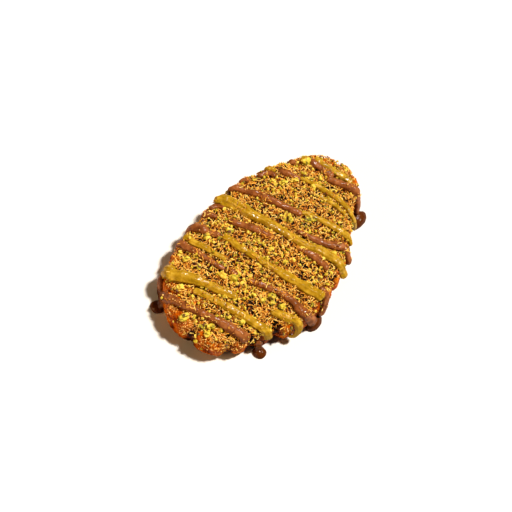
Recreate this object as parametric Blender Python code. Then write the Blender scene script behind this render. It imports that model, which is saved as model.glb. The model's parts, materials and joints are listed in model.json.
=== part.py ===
"""Croffle: croissant dough pressed in a waffle iron, dressed for the counter.

The pastry is a slab of dough with the iron's pockets pressed into its underside and around the
edge of its top, and its rim is parted by notches into lobes. A bed of shredded filo and chopped
pistachio fills the top, with stripes of milk-chocolate sauce and pistachio cream laid across it,
which run down the rim in drips and end in pools. All of it is one fused solid.

Sizes are in millimetres until they reach Blender. +Y is the long way, +Z is up, and the origin
is under the middle, on the surface that the croffle rests on.
"""

import math

import bmesh
import bpy
import numpy as np

MM = 0.001
SEED = 46
TRIANGLES_KEPT = 11000

# Plan of the pressed dough, clockwise from the far end: (across, along).
OUTLINE_KNOTS = (
    (0.0, 81.5), (13.0, 79.5), (22.0, 71.5), (26.5, 59.0), (34.0, 43.5), (42.5, 25.5),
    (47.5, 5.0), (47.8, -15.0), (46.0, -31.0), (39.5, -44.0), (30.5, -57.5), (21.5, -70.5),
    (9.5, -79.0), (-8.0, -79.8), (-21.5, -77.0), (-32.0, -68.0), (-41.5, -56.0),
    (-46.3, -40.0), (-48.6, -16.0), (-48.2, 5.0), (-43.8, 27.5), (-36.2, 46.5),
    (-27.2, 62.5), (-15.5, 76.5),
)  # fmt: skip
POINTS_PER_KNOT = 2

# The waffle iron: its studs press pockets into both faces and leave a thin web between them.
GRID_PITCH = 12.0
POCKET_MOUTH = 6.8
POCKET_FLOOR = 4.4
POCKET_UNEVENNESS = 0.35
WEB_LOW = 8.4
WEB_HIGH = 12.4
POCKET_MARGIN = 5.2

# Top pockets show in a band inside the rim, but not in the near left corner, which left the iron.
TOP_POCKET_BAND = 11.0
UNPRESSED_CORNER = (-2.0, -58.0)

# Notches part the ridge ends around the rim, apart from that corner: (across, along, depth, width)
# of the deep ones at the near end, then the spacing, depths and widths of all the others.
NEAR_NOTCHES = (
    (-3.5, -80.0, 3.2, 3.4), (20.0, -73.0, 4.8, 3.4), (28.5, -61.0, 3.8, 3.8),
    (37.0, -47.5, 6.6, 4.4), (45.0, -34.5, 3.4, 3.8),
)  # fmt: skip
NOTCH_PITCH = 12.6
NOTCH_CLEARANCE = 8.0
NOTCH_DEPTHS = (2.2, 4.0)
NOTCH_WIDTHS = (2.6, 3.8)
NOTCH_FLARE = 1.5
NOTCH_OUTSIDE = 4.0
NOTCH_WEB_SHARE = 0.45
NOTCH_SEED = 7

# The rim of the dough in section: (share of its height, how far inside the outline).
RIM_SECTION = ((0.0, 2.6), (0.16, 0.5), (0.5, 0.0), (0.84, 0.7), (1.0, 2.9))

# The near end lay half outside the iron, so its top slopes off: where the slope starts, how far
# it takes to reach its full measure, and how many times wider than elsewhere the rim's rounding is.
NEAR_SLOPE_START = -52.0
NEAR_SLOPE_RUN = 26.0
NEAR_SLOPE_TIMES = 1.6

# The top of the dressed croffle.
CROWN_HEIGHT = 23.0
CROWN_FALL_ACROSS = 4.2
CROWN_FALL_ALONG = 2.6
HALF_WIDTH = 48.0
HALF_LENGTH = 80.0
EDGE_ROUNDING = 4.4
EDGE_POWER = 2.6
PASTRY_BELOW_CROWN = 1.2

# The bed of shredded filo and chopped nuts.
BED_MARGIN = 3.6
BED_ROW_STEP = 4.4
BED_COLUMNS = 20
BED_BOTTOM = 10.4
BED_ROUGHNESS = 0.8
BED_DRIFT = 0.3
BED_EDGE_DROP = 2.2
BED_ABOVE_WEB = 0.5
BED_ENDS = (-75.5, 76.0)

# Stripes: (widths at the start, middle and end), then knots (across, along). A knot with a third
# number hangs at that height down the rim or lies on the table; the others lie on the surface.
CHOCOLATE_STRIPES = (
    ((4.4, 4.7, 4.0), ((-15.0, 68.5), (-11.5, 66.5), (-4.0, 65.7), (4.0, 66.2))),
    (
        (4.0, 5.8, 6.4),
        ((1.5, 61.0), (10.5, 63.5), (18.5, 65.5), (23.0, 66.0), (26.5, 63.5, 12.0), (28.5, 62.5, 4.0)),
    ),
    ((3.4, 3.8, 3.0), ((-26.0, 56.5), (-24.0, 58.5), (-21.5, 59.5))),
    ((3.4, 3.6, 3.2), ((-35.5, 35.5), (-33.5, 39.5), (-30.0, 42.0), (-26.0, 42.0))),
    ((3.4, 4.2, 3.6), ((-27.0, 47.2), (-19.5, 48.8), (-11.5, 49.8))),
    ((3.4, 3.8, 3.0), ((-42.5, 24.5), (-41.0, 28.0), (-38.0, 30.0))),
    (
        (3.6, 4.4, 4.2),
        ((-44.5, 16.0), (-41.0, 19.2), (-35.5, 20.3), (-25.0, 23.7), (-15.0, 24.5), (4.0, 27.0)),
    ),
    ((3.6, 3.8, 3.0), ((-46.0, -3.5), (-42.5, 1.0), (-38.0, 2.3))),
    ((3.6, 3.8, 3.0), ((-46.5, -10.0), (-42.5, -7.7), (-37.5, -6.4))),
    ((2.8, 4.8, 4.8), ((-30.5, -4.7), (-22.0, -2.5), (-13.0, 0.0), (0.5, 1.5))),
    (
        (2.8, 4.8, 5.4),
        ((8.5, 15.4), (18.5, 17.0), (27.5, 19.5), (35.5, 24.0), (40.0, 24.8), (45.5, 22.0, 12.0)),
    ),
    ((6.0, 5.4, 4.2), ((-48.0, -22.0), (-42.0, -19.7), (-36.0, -18.7), (-28.0, -16.5))),
    ((6.0, 4.2, 3.0), ((-47.0, -33.5), (-39.7, -35.6), (-30.0, -34.8), (-20.0, -35.3), (-11.5, -34.1))),
    ((4.0, 4.8, 3.6), ((-9.0, -33.0), (-6.0, -33.6), (-3.0, -34.2))),
    (
        (3.4, 4.8, 6.2),
        ((4.5, -32.0), (15.5, -29.0), (26.0, -26.7), (36.0, -27.0), (42.0, -28.2),
         (47.5, -25.5, 12.0), (48.5, -22.5, 4.0)),
    ),
    ((2.8, 4.8, 4.8), ((16.0, 5.6), (25.0, 6.8), (34.5, 6.7), (38.5, 5.5))),
    ((4.0, 5.2, 5.0), ((41.0, -7.5), (46.0, -8.3), (49.0, -12.0, 12.5), (49.0, -16.0, 5.0))),
    (
        (7.2, 5.0, 6.2),
        ((-42.0, -57.5, 13.0), (-36.5, -63.8), (-28.5, -68.8), (-17.0, -69.0), (-0.5, -66.0),
         (15.0, -63.8), (26.0, -62.3)),
    ),
    ((4.4, 4.6, 5.4), ((-30.0, -66.5, 8.0), (-32.5, -69.2, 4.0), (-34.0, -70.6, 2.0))),
    ((4.0, 4.0, 4.6), ((27.5, -54.5, 6.0), (30.0, -55.8, 3.0), (32.0, -57.0, 2.0))),
)
PISTACHIO_STRIPES = (
    ((3.8, 4.6, 4.2), ((-14.0, 71.0), (-9.5, 70.0), (0.0, 69.2), (8.0, 69.7), (16.0, 69.7))),
    ((4.4, 5.6, 4.2), ((-20.5, 62.5), (-18.5, 65.0), (-17.0, 68.5))),
    ((3.8, 4.4, 3.0), ((-35.5, 42.7), (-33.0, 45.0), (-28.5, 46.2))),
    (
        (3.0, 3.8, 3.8),
        ((-12.7, 51.2), (0.0, 52.2), (12.0, 52.5), (22.5, 51.9), (28.5, 49.2),
         (32.5, 49.5, 12.0), (33.0, 52.0, 3.5)),
    ),
    ((2.4, 2.8, 2.4), ((4.6, 46.6), (14.5, 47.5), (23.3, 46.7), (26.5, 44.8))),
    (
        (3.0, 4.6, 4.8),
        ((2.3, 28.8), (9.3, 30.8), (21.4, 32.7), (30.0, 33.3), (36.5, 33.6), (40.0, 32.0, 16.0)),
    ),
    (
        (6.6, 5.0, 7.0),
        ((-46.5, 3.5), (-42.0, 7.8), (-33.6, 8.3), (-22.5, 7.6), (-10.0, 9.0), (7.0, 9.5), (19.0, 10.6),
         (30.0, 13.4), (40.0, 14.2), (45.0, 13.6), (48.5, 13.0, 11.0)),
    ),
    ((3.4, 3.6, 2.4), ((-42.0, 2.7), (-37.7, 5.0), (-28.7, 4.6))),
    ((5.0, 4.8, 3.4), ((-46.0, -29.0), (-38.5, -30.2), (-31.5, -29.6), (-21.0, -28.9), (-15.0, -28.9))),
    (
        (3.4, 4.8, 8.0),
        ((-26.5, -16.0), (-20.0, -15.2), (-14.0, -16.6), (1.3, -16.2), (17.3, -15.5),
         (31.0, -14.0), (41.5, -12.5), (46.0, -11.6)),
    ),
    ((7.6, 6.4, 4.2), ((-41.5, -55.0), (-33.4, -55.4), (-23.6, -51.8), (-10.5, -48.6), (6.0, -45.7))),
    (
        (3.4, 5.4, 5.2),
        ((-18.7, -57.0), (-4.0, -55.2), (9.7, -53.6), (22.0, -52.8), (31.5, -52.0), (35.0, -52.5, 13.0)),
    ),
    (
        (4.2, 5.6, 3.2),
        ((26.3, -40.0), (35.2, -37.4), (42.0, -34.8), (45.5, -36.0, 13.0), (45.0, -39.0, 8.5),
         (42.0, -41.2, 7.5)),
    ),
)
STRIPE_SIDES = 5
STRIPE_RING_STEP = 4.8
STRIPE_FLATNESS = 0.72
STRIPE_SINK = 0.18
STRIPE_END_SCALE = 0.55

# Lowest level of a stripe's underside, inside the pool or the rim that it ends in.
TABLE_GAP = 0.3

# Drips that end on the table: (middle across, middle along, reach across, reach along, height).
POOLS = (
    (-34.5, -71.0, 4.8, 4.4, 3.4),
    (33.0, -57.5, 4.4, 4.2, 3.4),
    (48.5, -20.5, 4.4, 6.8, 5.2),
    (30.8, 60.5, 4.6, 8.2, 5.0),
)
POOL_SEGMENTS = 12
POOL_RINGS = 3

# The largest pistachio pieces: (across, along, size, turn in degrees).
NUT_CHUNKS = (
    (4.2, -70.3, 5.4, 10), (0.0, -73.0, 4.8, 50), (5.2, -74.6, 5.0, 80), (-12.5, -74.0, 6.6, 75),
    (17.2, -56.8, 4.6, 30), (9.0, -59.4, 4.2, 0), (-26.0, -60.0, 5.6, 20), (-1.0, -48.8, 4.6, 40),
    (4.5, -47.4, 3.8, 70), (-10.0, -38.4, 5.6, 15), (-3.6, -37.0, 6.4, 60), (13.0, -38.0, 4.0, 5),
    (19.0, -37.6, 4.2, 33), (21.0, -32.4, 5.6, 12), (24.4, -35.4, 4.4, 48), (30.0, -33.8, 5.2, 25),
    (-25.0, -42.6, 4.0, 66), (-35.0, -42.4, 5.6, 38), (-34.0, -21.4, 5.6, 85), (31.0, 9.4, 4.4, 20),
    (18.0, 7.4, 4.2, 55), (-28.0, 11.4, 4.0, 5), (-1.0, 19.4, 6.6, 130), (-26.0, -10.0, 4.6, 9),
    (-14.0, 47.2, 4.6, 28), (-19.0, 40.6, 6.0, 77), (-2.0, 50.0, 4.4, 44), (10.0, 27.6, 6.4, 18),
    (-17.0, 64.4, 6.6, 62), (35.0, 18.0, 4.0, 35), (3.0, -5.6, 3.8, 12), (15.0, -7.6, 4.2, 81),
)  # fmt: skip
CHUNK_JITTER = 0.16
CHUNK_SIDES = (1.0, 0.74, 0.66)
CHUNK_LIFT = 0.1

# Loose-lying shreds, the largest of the filo threads.
SHRED_COUNT = 90
SHRED_LENGTH = (4.5, 7.5)
SHRED_WIDTH = 1.24
SHRED_TAPER = (0.8, 1.0, 0.8)
SHRED_BOW = 0.9
SHRED_RISE = 0.15
SHRED_SPACING = 5.2
SHRED_EDGE_MARGIN = 7.6
SHRED_FIELD = ((-44.0, -72.0), (44.0, 74.0))
SHRED_TRIES = 60

CRUST_COLOUR = (0.46, 0.17, 0.035, 1.0)
CRUST_ROUGHNESS = 0.5


def clear_scene():
    """Remove whatever the file already holds."""
    for thing in list(bpy.data.objects):
        bpy.data.objects.remove(thing)


def smooth_path(knots, per_span, closed=False):
    """Points of a Catmull-Rom curve through the knots, as an array."""
    knots = [np.array(knot, float) for knot in knots]
    if closed:
        padded = [knots[-1], *knots, knots[0], knots[1]]
    else:
        padded = [2 * knots[0] - knots[1], *knots, 2 * knots[-1] - knots[-2]]
    points = []
    for before, start, end, after in zip(padded, padded[1:], padded[2:], padded[3:]):
        for step in range(per_span):
            t = step / per_span
            bend = 2 * before - 5 * start + 4 * end - after
            twist = 3 * start - before - 3 * end + after
            points.append(start + 0.5 * t * (end - before + t * (bend + t * twist)))
    if not closed:
        points.append(knots[-1])
    return np.array(points)


OUTLINE = smooth_path(OUTLINE_KNOTS, POINTS_PER_KNOT, closed=True)


def inner_distance(across, along):
    """How far a point lies inside the outline, negative outside it."""
    starts = OUTLINE
    spans = np.roll(OUTLINE, -1, axis=0) - starts
    point = np.array((across, along))
    shares = np.clip(((point - starts) * spans).sum(1) / (spans**2).sum(1), 0, 1)
    nearest = np.linalg.norm(starts + spans * shares[:, None] - point, axis=1).min()
    ends = starts + spans
    straddles = (starts[:, 1] > along) != (ends[:, 1] > along)
    rise = np.where(straddles, spans[:, 1], 1.0)
    crossings = starts[:, 0] + spans[:, 0] * (along - starts[:, 1]) / rise
    inside = (straddles & (crossings > across)).sum() % 2 == 1
    return nearest if inside else -nearest


def rim_spread(along):
    """How much wider the rounding of the rim's top is here than at the sides."""
    share = (NEAR_SLOPE_START - along) / NEAR_SLOPE_RUN
    return 1 + NEAR_SLOPE_TIMES * min(max(share, 0.0), 1.0)


def dome(across, along):
    """Height of the low dome that the dressed surface follows away from the rim."""
    fall = CROWN_FALL_ACROSS * (across / HALF_WIDTH) ** 2
    fall += CROWN_FALL_ALONG * (along / HALF_LENGTH) ** 2
    return CROWN_HEIGHT - fall


def crown(across, along):
    """Height of the dressed surface: the dome, rounding down at the rim to the table."""
    rounding = EDGE_ROUNDING * rim_spread(along)
    share = min(max(inner_distance(across, along) / rounding, 0.0), 1.0)
    return dome(across, along) * (1 - (1 - share) ** EDGE_POWER) ** (1 / EDGE_POWER)


def surface_normal(across, along):
    """Outward direction of the dressed surface: up on top, level past the rim."""
    step = 0.4
    slope_across = inner_distance(across + step, along) - inner_distance(across - step, along)
    slope_along = inner_distance(across, along + step) - inner_distance(across, along - step)
    lift = min(max(inner_distance(across, along) / EDGE_ROUNDING, 0.05), 1.0)
    outward = -(1 - lift) / (2 * step)
    normal = np.array((slope_across * outward, slope_along * outward, lift))
    return normal / np.linalg.norm(normal)


def outline_span(line, axis):
    """Lowest and highest crossing of the outline with a straight line square to an axis."""
    ends = np.roll(OUTLINE, -1, axis=0)
    hits = []
    for start, end in zip(OUTLINE, ends):
        if (start[axis] > line) != (end[axis] > line):
            share = (line - start[axis]) / (end[axis] - start[axis])
            hits.append(start[1 - axis] + share * (end[1 - axis] - start[1 - axis]))
    return (min(hits), max(hits)) if hits else None


def solid(name, rings, collection):
    """A closed mesh object through rings of equal length, capped at both ends."""
    mesh = bpy.data.meshes.new(name)
    shape = bmesh.new()
    loops = [[shape.verts.new(np.array(point) * MM) for point in ring] for ring in rings]
    for lower, upper in zip(loops, loops[1:]):
        for index in range(len(lower)):
            after = (index + 1) % len(lower)
            shape.faces.new((lower[index], lower[after], upper[after], upper[index]))
    shape.faces.new(loops[0])
    shape.faces.new(loops[-1])
    bmesh.ops.triangulate(shape, faces=shape.faces)
    bmesh.ops.recalc_face_normals(shape, faces=shape.faces)
    shape.to_mesh(mesh)
    shape.free()
    thing = bpy.data.objects.new(name, mesh)
    collection.objects.link(thing)
    return thing


def rim_height(across, along):
    """Top of the bare dough, a little under the dressed surface."""
    return dome(across, along) - PASTRY_BELOW_CROWN


def make_dough(collection):
    """The pressed dough before the pockets: the outline with a rounded rim and a low dome."""
    after = np.roll(OUTLINE, -1, axis=0)
    before = np.roll(OUTLINE, 1, axis=0)
    run = after - before
    inward = np.stack((run[:, 1], -run[:, 0]), axis=1)
    inward /= np.linalg.norm(inward, axis=1)[:, None]
    spread = np.array([rim_spread(along) for along in OUTLINE[:, 1]])
    rings = []
    for share, inset in RIM_SECTION:
        times = spread if share > 0.5 else np.ones_like(spread)
        plan = OUTLINE + inward * (inset * times)[:, None]
        rings.append([(x, y, rim_height(x, y) * share) for x, y in plan])
    return solid("dough", rings, collection)


def unpressed(across, along):
    """Whether a place is in the near left corner, which left the iron."""
    return across < UNPRESSED_CORNER[0] and along < UNPRESSED_CORNER[1]


def pocket_ring(across, along, half, height):
    """The four corners of a square section of a pocket."""
    signs = ((-1, -1), (1, -1), (1, 1), (-1, 1))
    return [(across + half * i, along + half * j, height) for i, j in signs]


def make_pocket(name, centre, mouth, floor, collection):
    """The tapered stud of the iron that presses one pocket, from its mouth to its floor."""
    half_mouth, half_floor = POCKET_MOUTH / 2, POCKET_FLOOR / 2
    beyond = mouth + math.copysign(1.0, mouth - floor)
    flare = half_mouth + (half_mouth - half_floor) / abs(mouth - floor)
    rings = [pocket_ring(*centre, flare, beyond), pocket_ring(*centre, half_floor, floor)]
    return solid(name, rings, collection)


def make_pockets(collection, random):
    """Pockets in the whole underside, and in the top wherever the dressing leaves it bare."""
    across_count = int(OUTLINE[:, 0].max() / GRID_PITCH) + 1
    along_count = int(OUTLINE[:, 1].max() / GRID_PITCH) + 1
    for column in range(-across_count, across_count):
        for row in range(-along_count, along_count):
            centre = (np.array((column, row)) + 0.5) * GRID_PITCH
            depth = inner_distance(*centre)
            if depth < POCKET_MARGIN:
                continue
            centre = centre + random.uniform(-POCKET_UNEVENNESS, POCKET_UNEVENNESS, 2)
            name = f"pocket_{column}_{row}"
            make_pocket(name + "_under", centre, 0.0, WEB_LOW, collection)
            if depth < TOP_POCKET_BAND and not unpressed(*centre):
                mouth = rim_height(*centre)
                make_pocket(name + "_top", centre, mouth, WEB_HIGH, collection)


def notch_places():
    """Every notch of the rim as (across, along, depth, width)."""
    random = np.random.default_rng(NOTCH_SEED)
    ring = evenly_spaced(np.vstack((OUTLINE, OUTLINE[:1])), NOTCH_PITCH)[:-1]
    places = list(NEAR_NOTCHES)
    for spot in ring:
        depth = random.uniform(*NOTCH_DEPTHS)
        width = random.uniform(*NOTCH_WIDTHS)
        gaps = [math.dist(spot, placed[:2]) for placed in NEAR_NOTCHES]
        if min(gaps) > NOTCH_CLEARANCE and not unpressed(*spot):
            places.append((*spot, depth, width))
    return places


def make_notch(name, across, along, depth, width, levels, collection):
    """A wedge that parts the rim between two levels, from outside it to a depth inside it."""
    step = 1.0
    inward = np.array((
        inner_distance(across + step, along) - inner_distance(across - step, along),
        inner_distance(across, along + step) - inner_distance(across, along - step),
    ))
    inward /= np.linalg.norm(inward)
    side = np.array((-inward[1], inward[0]))
    spot = np.array((across, along))
    tip, mouth = spot + inward * depth, spot - inward * NOTCH_OUTSIDE
    half = width / 2
    flared = half * NOTCH_FLARE
    plan = (tip - side * half, tip + side * half, mouth + side * flared, mouth - side * flared)
    solid(name, [[(*corner, level) for corner in plan] for level in levels], collection)


def make_notches(collection):
    """Deep notches under and over the web, and shallow ones where the web's edge shows."""
    for index, (across, along, depth, width) in enumerate(notch_places()):
        top = CROWN_HEIGHT + 1.0
        parts = (
            ("under", depth, (-1.0, WEB_LOW)),
            ("over", depth, (WEB_HIGH, top)),
            ("web", depth * NOTCH_WEB_SHARE, (WEB_LOW - 1.0, WEB_HIGH + 1.0)),
        )
        for part, reach, levels in parts:
            make_notch(f"notch_{index}_{part}", across, along, reach, width, levels, collection)


def make_bed(collection, random):
    """The rough bed of filo and nuts that fills the top pockets."""
    rows = int((BED_ENDS[1] - BED_ENDS[0]) / BED_ROW_STEP)
    top_rows = []
    for row in range(rows + 1):
        along = BED_ENDS[0] + (BED_ENDS[1] - BED_ENDS[0]) * row / rows
        left, right = outline_span(along, 1)
        points = []
        for column in range(BED_COLUMNS + 1):
            share = column / BED_COLUMNS
            x = left + BED_MARGIN + (right - left - 2 * BED_MARGIN) * share
            y = along
            border = row in (0, rows) or column in (0, BED_COLUMNS)
            if not border:
                x += random.uniform(-BED_DRIFT, BED_DRIFT) * (right - left) / BED_COLUMNS
                y += random.uniform(-BED_DRIFT, BED_DRIFT) * BED_ROW_STEP
            rough = random.uniform(-BED_ROUGHNESS, BED_ROUGHNESS)
            z = crown(x, y) + rough - (BED_EDGE_DROP if border else 0.0)
            points.append((x, y, max(z, WEB_HIGH + BED_ABOVE_WEB)))
        top_rows.append(points)
    mesh = bpy.data.meshes.new("bed")
    shape = bmesh.new()
    grid = [[shape.verts.new(np.array(point) * MM) for point in row] for row in top_rows]
    for near, far in zip(grid, grid[1:]):
        for index in range(BED_COLUMNS):
            shape.faces.new((near[index], near[index + 1], far[index + 1], far[index]))
    rim = grid[0] + [row[-1] for row in grid[1:-1]] + grid[-1][::-1]
    rim += [row[0] for row in grid[-2:0:-1]]
    floor = [shape.verts.new((vert.co.x, vert.co.y, BED_BOTTOM * MM)) for vert in rim]
    for index in range(len(rim)):
        after = (index + 1) % len(rim)
        shape.faces.new((rim[index], floor[index], floor[after], rim[after]))
    shape.faces.new(floor)
    bmesh.ops.triangulate(shape, faces=shape.faces)
    bmesh.ops.recalc_face_normals(shape, faces=shape.faces)
    shape.to_mesh(mesh)
    shape.free()
    collection.objects.link(bpy.data.objects.new("bed", mesh))


def evenly_spaced(path, step):
    """The same path with points a nearly equal step apart."""
    lengths = np.concatenate(([0.0], np.linalg.norm(np.diff(path, axis=0), axis=1).cumsum()))
    count = max(int(round(lengths[-1] / step)), 2)
    wanted = np.linspace(0.0, lengths[-1], count + 1)
    columns = [np.interp(wanted, lengths, path[:, axis]) for axis in range(path.shape[1])]
    return np.stack(columns, axis=1)


def draped(knots, proud):
    """A path laid on the dressed surface, its centre line a little above it."""
    full = [(*knot[:2], knot[2] if len(knot) > 2 else crown(*knot) + proud) for knot in knots]
    path = smooth_path(full, 12)
    for point in path:
        point[2] = max(point[2], crown(point[0], point[1]) + proud)
    return path


def swept(name, path, widths, flatness, sides, collection):
    """A closed tube of changing width along a path, flattened towards the surface below it."""
    tangents = np.gradient(path, axis=0)
    rings = []
    for index, (centre, tangent) in enumerate(zip(path, tangents)):
        tangent = tangent / np.linalg.norm(tangent)
        up = surface_normal(centre[0], centre[1])
        side = np.cross(tangent, up)
        side /= np.linalg.norm(side)
        up = np.cross(side, tangent)
        half = widths[index] / 2
        ring = []
        for corner in range(sides):
            angle = 2 * math.pi * (corner + 0.5) / sides
            offset = side * math.cos(angle) * half + up * math.sin(angle) * half * flatness
            ring.append(np.maximum(centre + offset, (-np.inf, -np.inf, TABLE_GAP)))
        rings.append(ring)
    return solid(name, rings, collection)


def make_stripe(name, widths, knots, collection):
    """One stripe of sauce, thick and thin along its length, with blunt ends."""
    mean = sum(widths) / 3
    path = evenly_spaced(draped(knots, mean * STRIPE_SINK), STRIPE_RING_STEP)
    shares = np.linspace(0.0, 1.0, len(path))
    sizes = np.interp(shares, (0.0, 0.5, 1.0), widths)
    sizes[0] *= STRIPE_END_SCALE
    sizes[-1] *= STRIPE_END_SCALE
    swept(name, path, sizes, STRIPE_FLATNESS, STRIPE_SIDES, collection)


def make_pool(name, across, along, reach_across, reach_along, height, collection):
    """A drip of sauce that stands on the table against the rim."""
    rings = []
    for level in range(POOL_RINGS + 1):
        angle = 0.5 * math.pi * level / (POOL_RINGS + 0.35)
        ring = []
        for segment in range(POOL_SEGMENTS):
            turn = 2 * math.pi * segment / POOL_SEGMENTS
            x = across + reach_across * math.cos(angle) * math.cos(turn)
            y = along + reach_along * math.cos(angle) * math.sin(turn)
            ring.append((x, y, height * math.sin(angle)))
        rings.append(ring)
    solid(name, rings, collection)


def make_chunk(name, across, along, size, turn, random, collection):
    """An angular piece of chopped nut, part sunk in the bed."""
    mesh = bpy.data.meshes.new(name)
    shape = bmesh.new()
    bmesh.ops.create_icosphere(shape, subdivisions=1, radius=0.5)
    for vert in shape.verts:
        vert.co *= 1 + random.uniform(-CHUNK_JITTER, CHUNK_JITTER)
    angle = math.radians(turn)
    height = crown(across, along) + size * CHUNK_LIFT
    for vert in shape.verts:
        x, y, z = np.array(vert.co) * size * CHUNK_SIDES
        turned = x * math.cos(angle) - y * math.sin(angle), x * math.sin(angle) + y * math.cos(angle)
        vert.co = np.array((across + turned[0], along + turned[1], height + z)) * MM
    shape.to_mesh(mesh)
    shape.free()
    collection.objects.link(bpy.data.objects.new(name, mesh))


def make_shred(name, across, along, random, collection):
    """A bent thread of filo that lies on the bed, its ends a little off it."""
    length = random.uniform(*SHRED_LENGTH)
    angle = random.uniform(0, math.pi)
    bow = random.uniform(-SHRED_BOW, SHRED_BOW)
    direction = np.array((math.cos(angle), math.sin(angle)))
    across_it = np.array((-direction[1], direction[0]))
    path = []
    for share in (-0.5, 0.0, 0.5):
        plan = np.array((across, along)) + direction * length * share
        plan = plan + across_it * bow * (1 - 4 * share * share)
        height = crown(*plan) + SHRED_RISE
        path.append((*plan, height))
    sizes = [SHRED_WIDTH * scale for scale in SHRED_TAPER]
    swept(name, np.array(path), sizes, 1.0, 3, collection)


def scatter_shreds(collection, random):
    """Long shreds spread evenly over the bed, clear of each other."""
    placed = []
    tries = 0
    while len(placed) < SHRED_COUNT and tries < SHRED_COUNT * SHRED_TRIES:
        tries += 1
        point = random.uniform(*SHRED_FIELD)
        if inner_distance(*point) < SHRED_EDGE_MARGIN:
            continue
        if any(np.linalg.norm(point - other) < SHRED_SPACING for other in placed):
            continue
        placed.append(point)
        make_shred(f"shred_{len(placed)}", *point, random, collection)


def keep_outer_shell(mesh):
    """Keep the largest shell alone, without loose scraps or sealed hollows."""
    shape = bmesh.new()
    shape.from_mesh(mesh)
    unseen = set(shape.verts)
    shells = []
    while unseen:
        stack = [unseen.pop()]
        shell = set(stack)
        while stack:
            for edge in stack.pop().link_edges:
                for vert in edge.verts:
                    if vert in unseen:
                        unseen.discard(vert)
                        shell.add(vert)
                        stack.append(vert)
        shells.append(shell)
    shells.sort(key=len)
    for shell in shells[:-1]:
        bmesh.ops.delete(shape, geom=list(shell), context="VERTS")
    shape.to_mesh(mesh)
    shape.free()


def combine(base, operation, pieces):
    """Apply one Boolean of a whole collection to the base and remove the collection."""
    boolean = base.modifiers.new("combine", "BOOLEAN")
    boolean.operation = operation
    boolean.operand_type = "COLLECTION"
    boolean.collection = pieces
    graph = bpy.context.evaluated_depsgraph_get()
    result = bpy.data.meshes.new_from_object(base.evaluated_get(graph))
    base.modifiers.clear()
    base.data = result
    for thing in list(pieces.objects):
        bpy.data.objects.remove(thing)
    bpy.data.collections.remove(pieces)


def rest_on_origin(thing):
    """Centre the solid over the origin, with its lowest point on the table."""
    corners = np.array([vert.co for vert in thing.data.vertices])
    low, high = corners.min(0), corners.max(0)
    shift = np.array(((low[0] + high[0]) / 2, (low[1] + high[1]) / 2, low[2]))
    for vert in thing.data.vertices:
        vert.co = np.array(vert.co) - shift


def crust_material():
    """Baked, sugared croissant crust."""
    material = bpy.data.materials.new("baked_crust")
    material.use_nodes = True
    shader = material.node_tree.nodes["Principled BSDF"]
    shader.inputs["Base Color"].default_value = CRUST_COLOUR
    shader.inputs["Roughness"].default_value = CRUST_ROUGHNESS
    shader.inputs["Metallic"].default_value = 0.0
    return material


def thin_out(thing, kept):
    """Collapse the slivers that the fusing leaves, down to a number of triangles."""
    count = sum(len(face.vertices) - 2 for face in thing.data.polygons)
    decimate = thing.modifiers.new("thin_out", "DECIMATE")
    decimate.ratio = min(kept / count, 1.0)
    decimate.use_collapse_triangulate = True
    graph = bpy.context.evaluated_depsgraph_get()
    result = bpy.data.meshes.new_from_object(thing.evaluated_get(graph))
    thing.modifiers.clear()
    thing.data = result


def new_collection(name):
    """An empty collection in the scene."""
    collection = bpy.data.collections.new(name)
    bpy.context.scene.collection.children.link(collection)
    return collection


def make_toppings(collection, random):
    """The bed, the stripes and their pools, the nut pieces and the shreds."""
    make_bed(collection, random)
    for kind, stripes in (("chocolate", CHOCOLATE_STRIPES), ("pistachio", PISTACHIO_STRIPES)):
        for index, (widths, knots) in enumerate(stripes):
            make_stripe(f"{kind}_{index}", widths, knots, collection)
    for index, pool in enumerate(POOLS):
        make_pool(f"pool_{index}", *pool, collection)
    for index, chunk in enumerate(NUT_CHUNKS):
        make_chunk(f"chunk_{index}", *chunk, random, collection)
    scatter_shreds(collection, random)


def make_croffle():
    """Press the dough, dress it, and fuse everything into one solid."""
    random = np.random.default_rng(SEED)
    croffle = make_dough(bpy.context.scene.collection)
    croffle.name = "croffle"
    pockets = new_collection("pockets")
    make_pockets(pockets, random)
    make_notches(pockets)
    combine(croffle, "DIFFERENCE", pockets)
    toppings = new_collection("toppings")
    make_toppings(toppings, random)
    combine(croffle, "UNION", toppings)
    keep_outer_shell(croffle.data)
    thin_out(croffle, TRIANGLES_KEPT)
    rest_on_origin(croffle)
    croffle.data.materials.clear()
    croffle.data.materials.append(crust_material())
    croffle.data.shade_flat()


clear_scene()
make_croffle()
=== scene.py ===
"""Looks of a dressed croffle: crust, bed of filo threads, sauces, pistachio and crumbs.

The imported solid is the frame. Every piece here rides on it and stands for it, because the solid
is only a faceted stand-in for food. Shapes are worked out in millimetres in the maker's own
layout, and one function moves them into the row frame. Classes hold the sizes of what they build,
finishes hold their colours, and `main` lays everything down in the order of a real kitchen: the
dough first, then the bed, the sauces, the threads, the nuts and the crumbs.
"""

import json
import logging
import math
from dataclasses import dataclass, field
from enum import Enum

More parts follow.
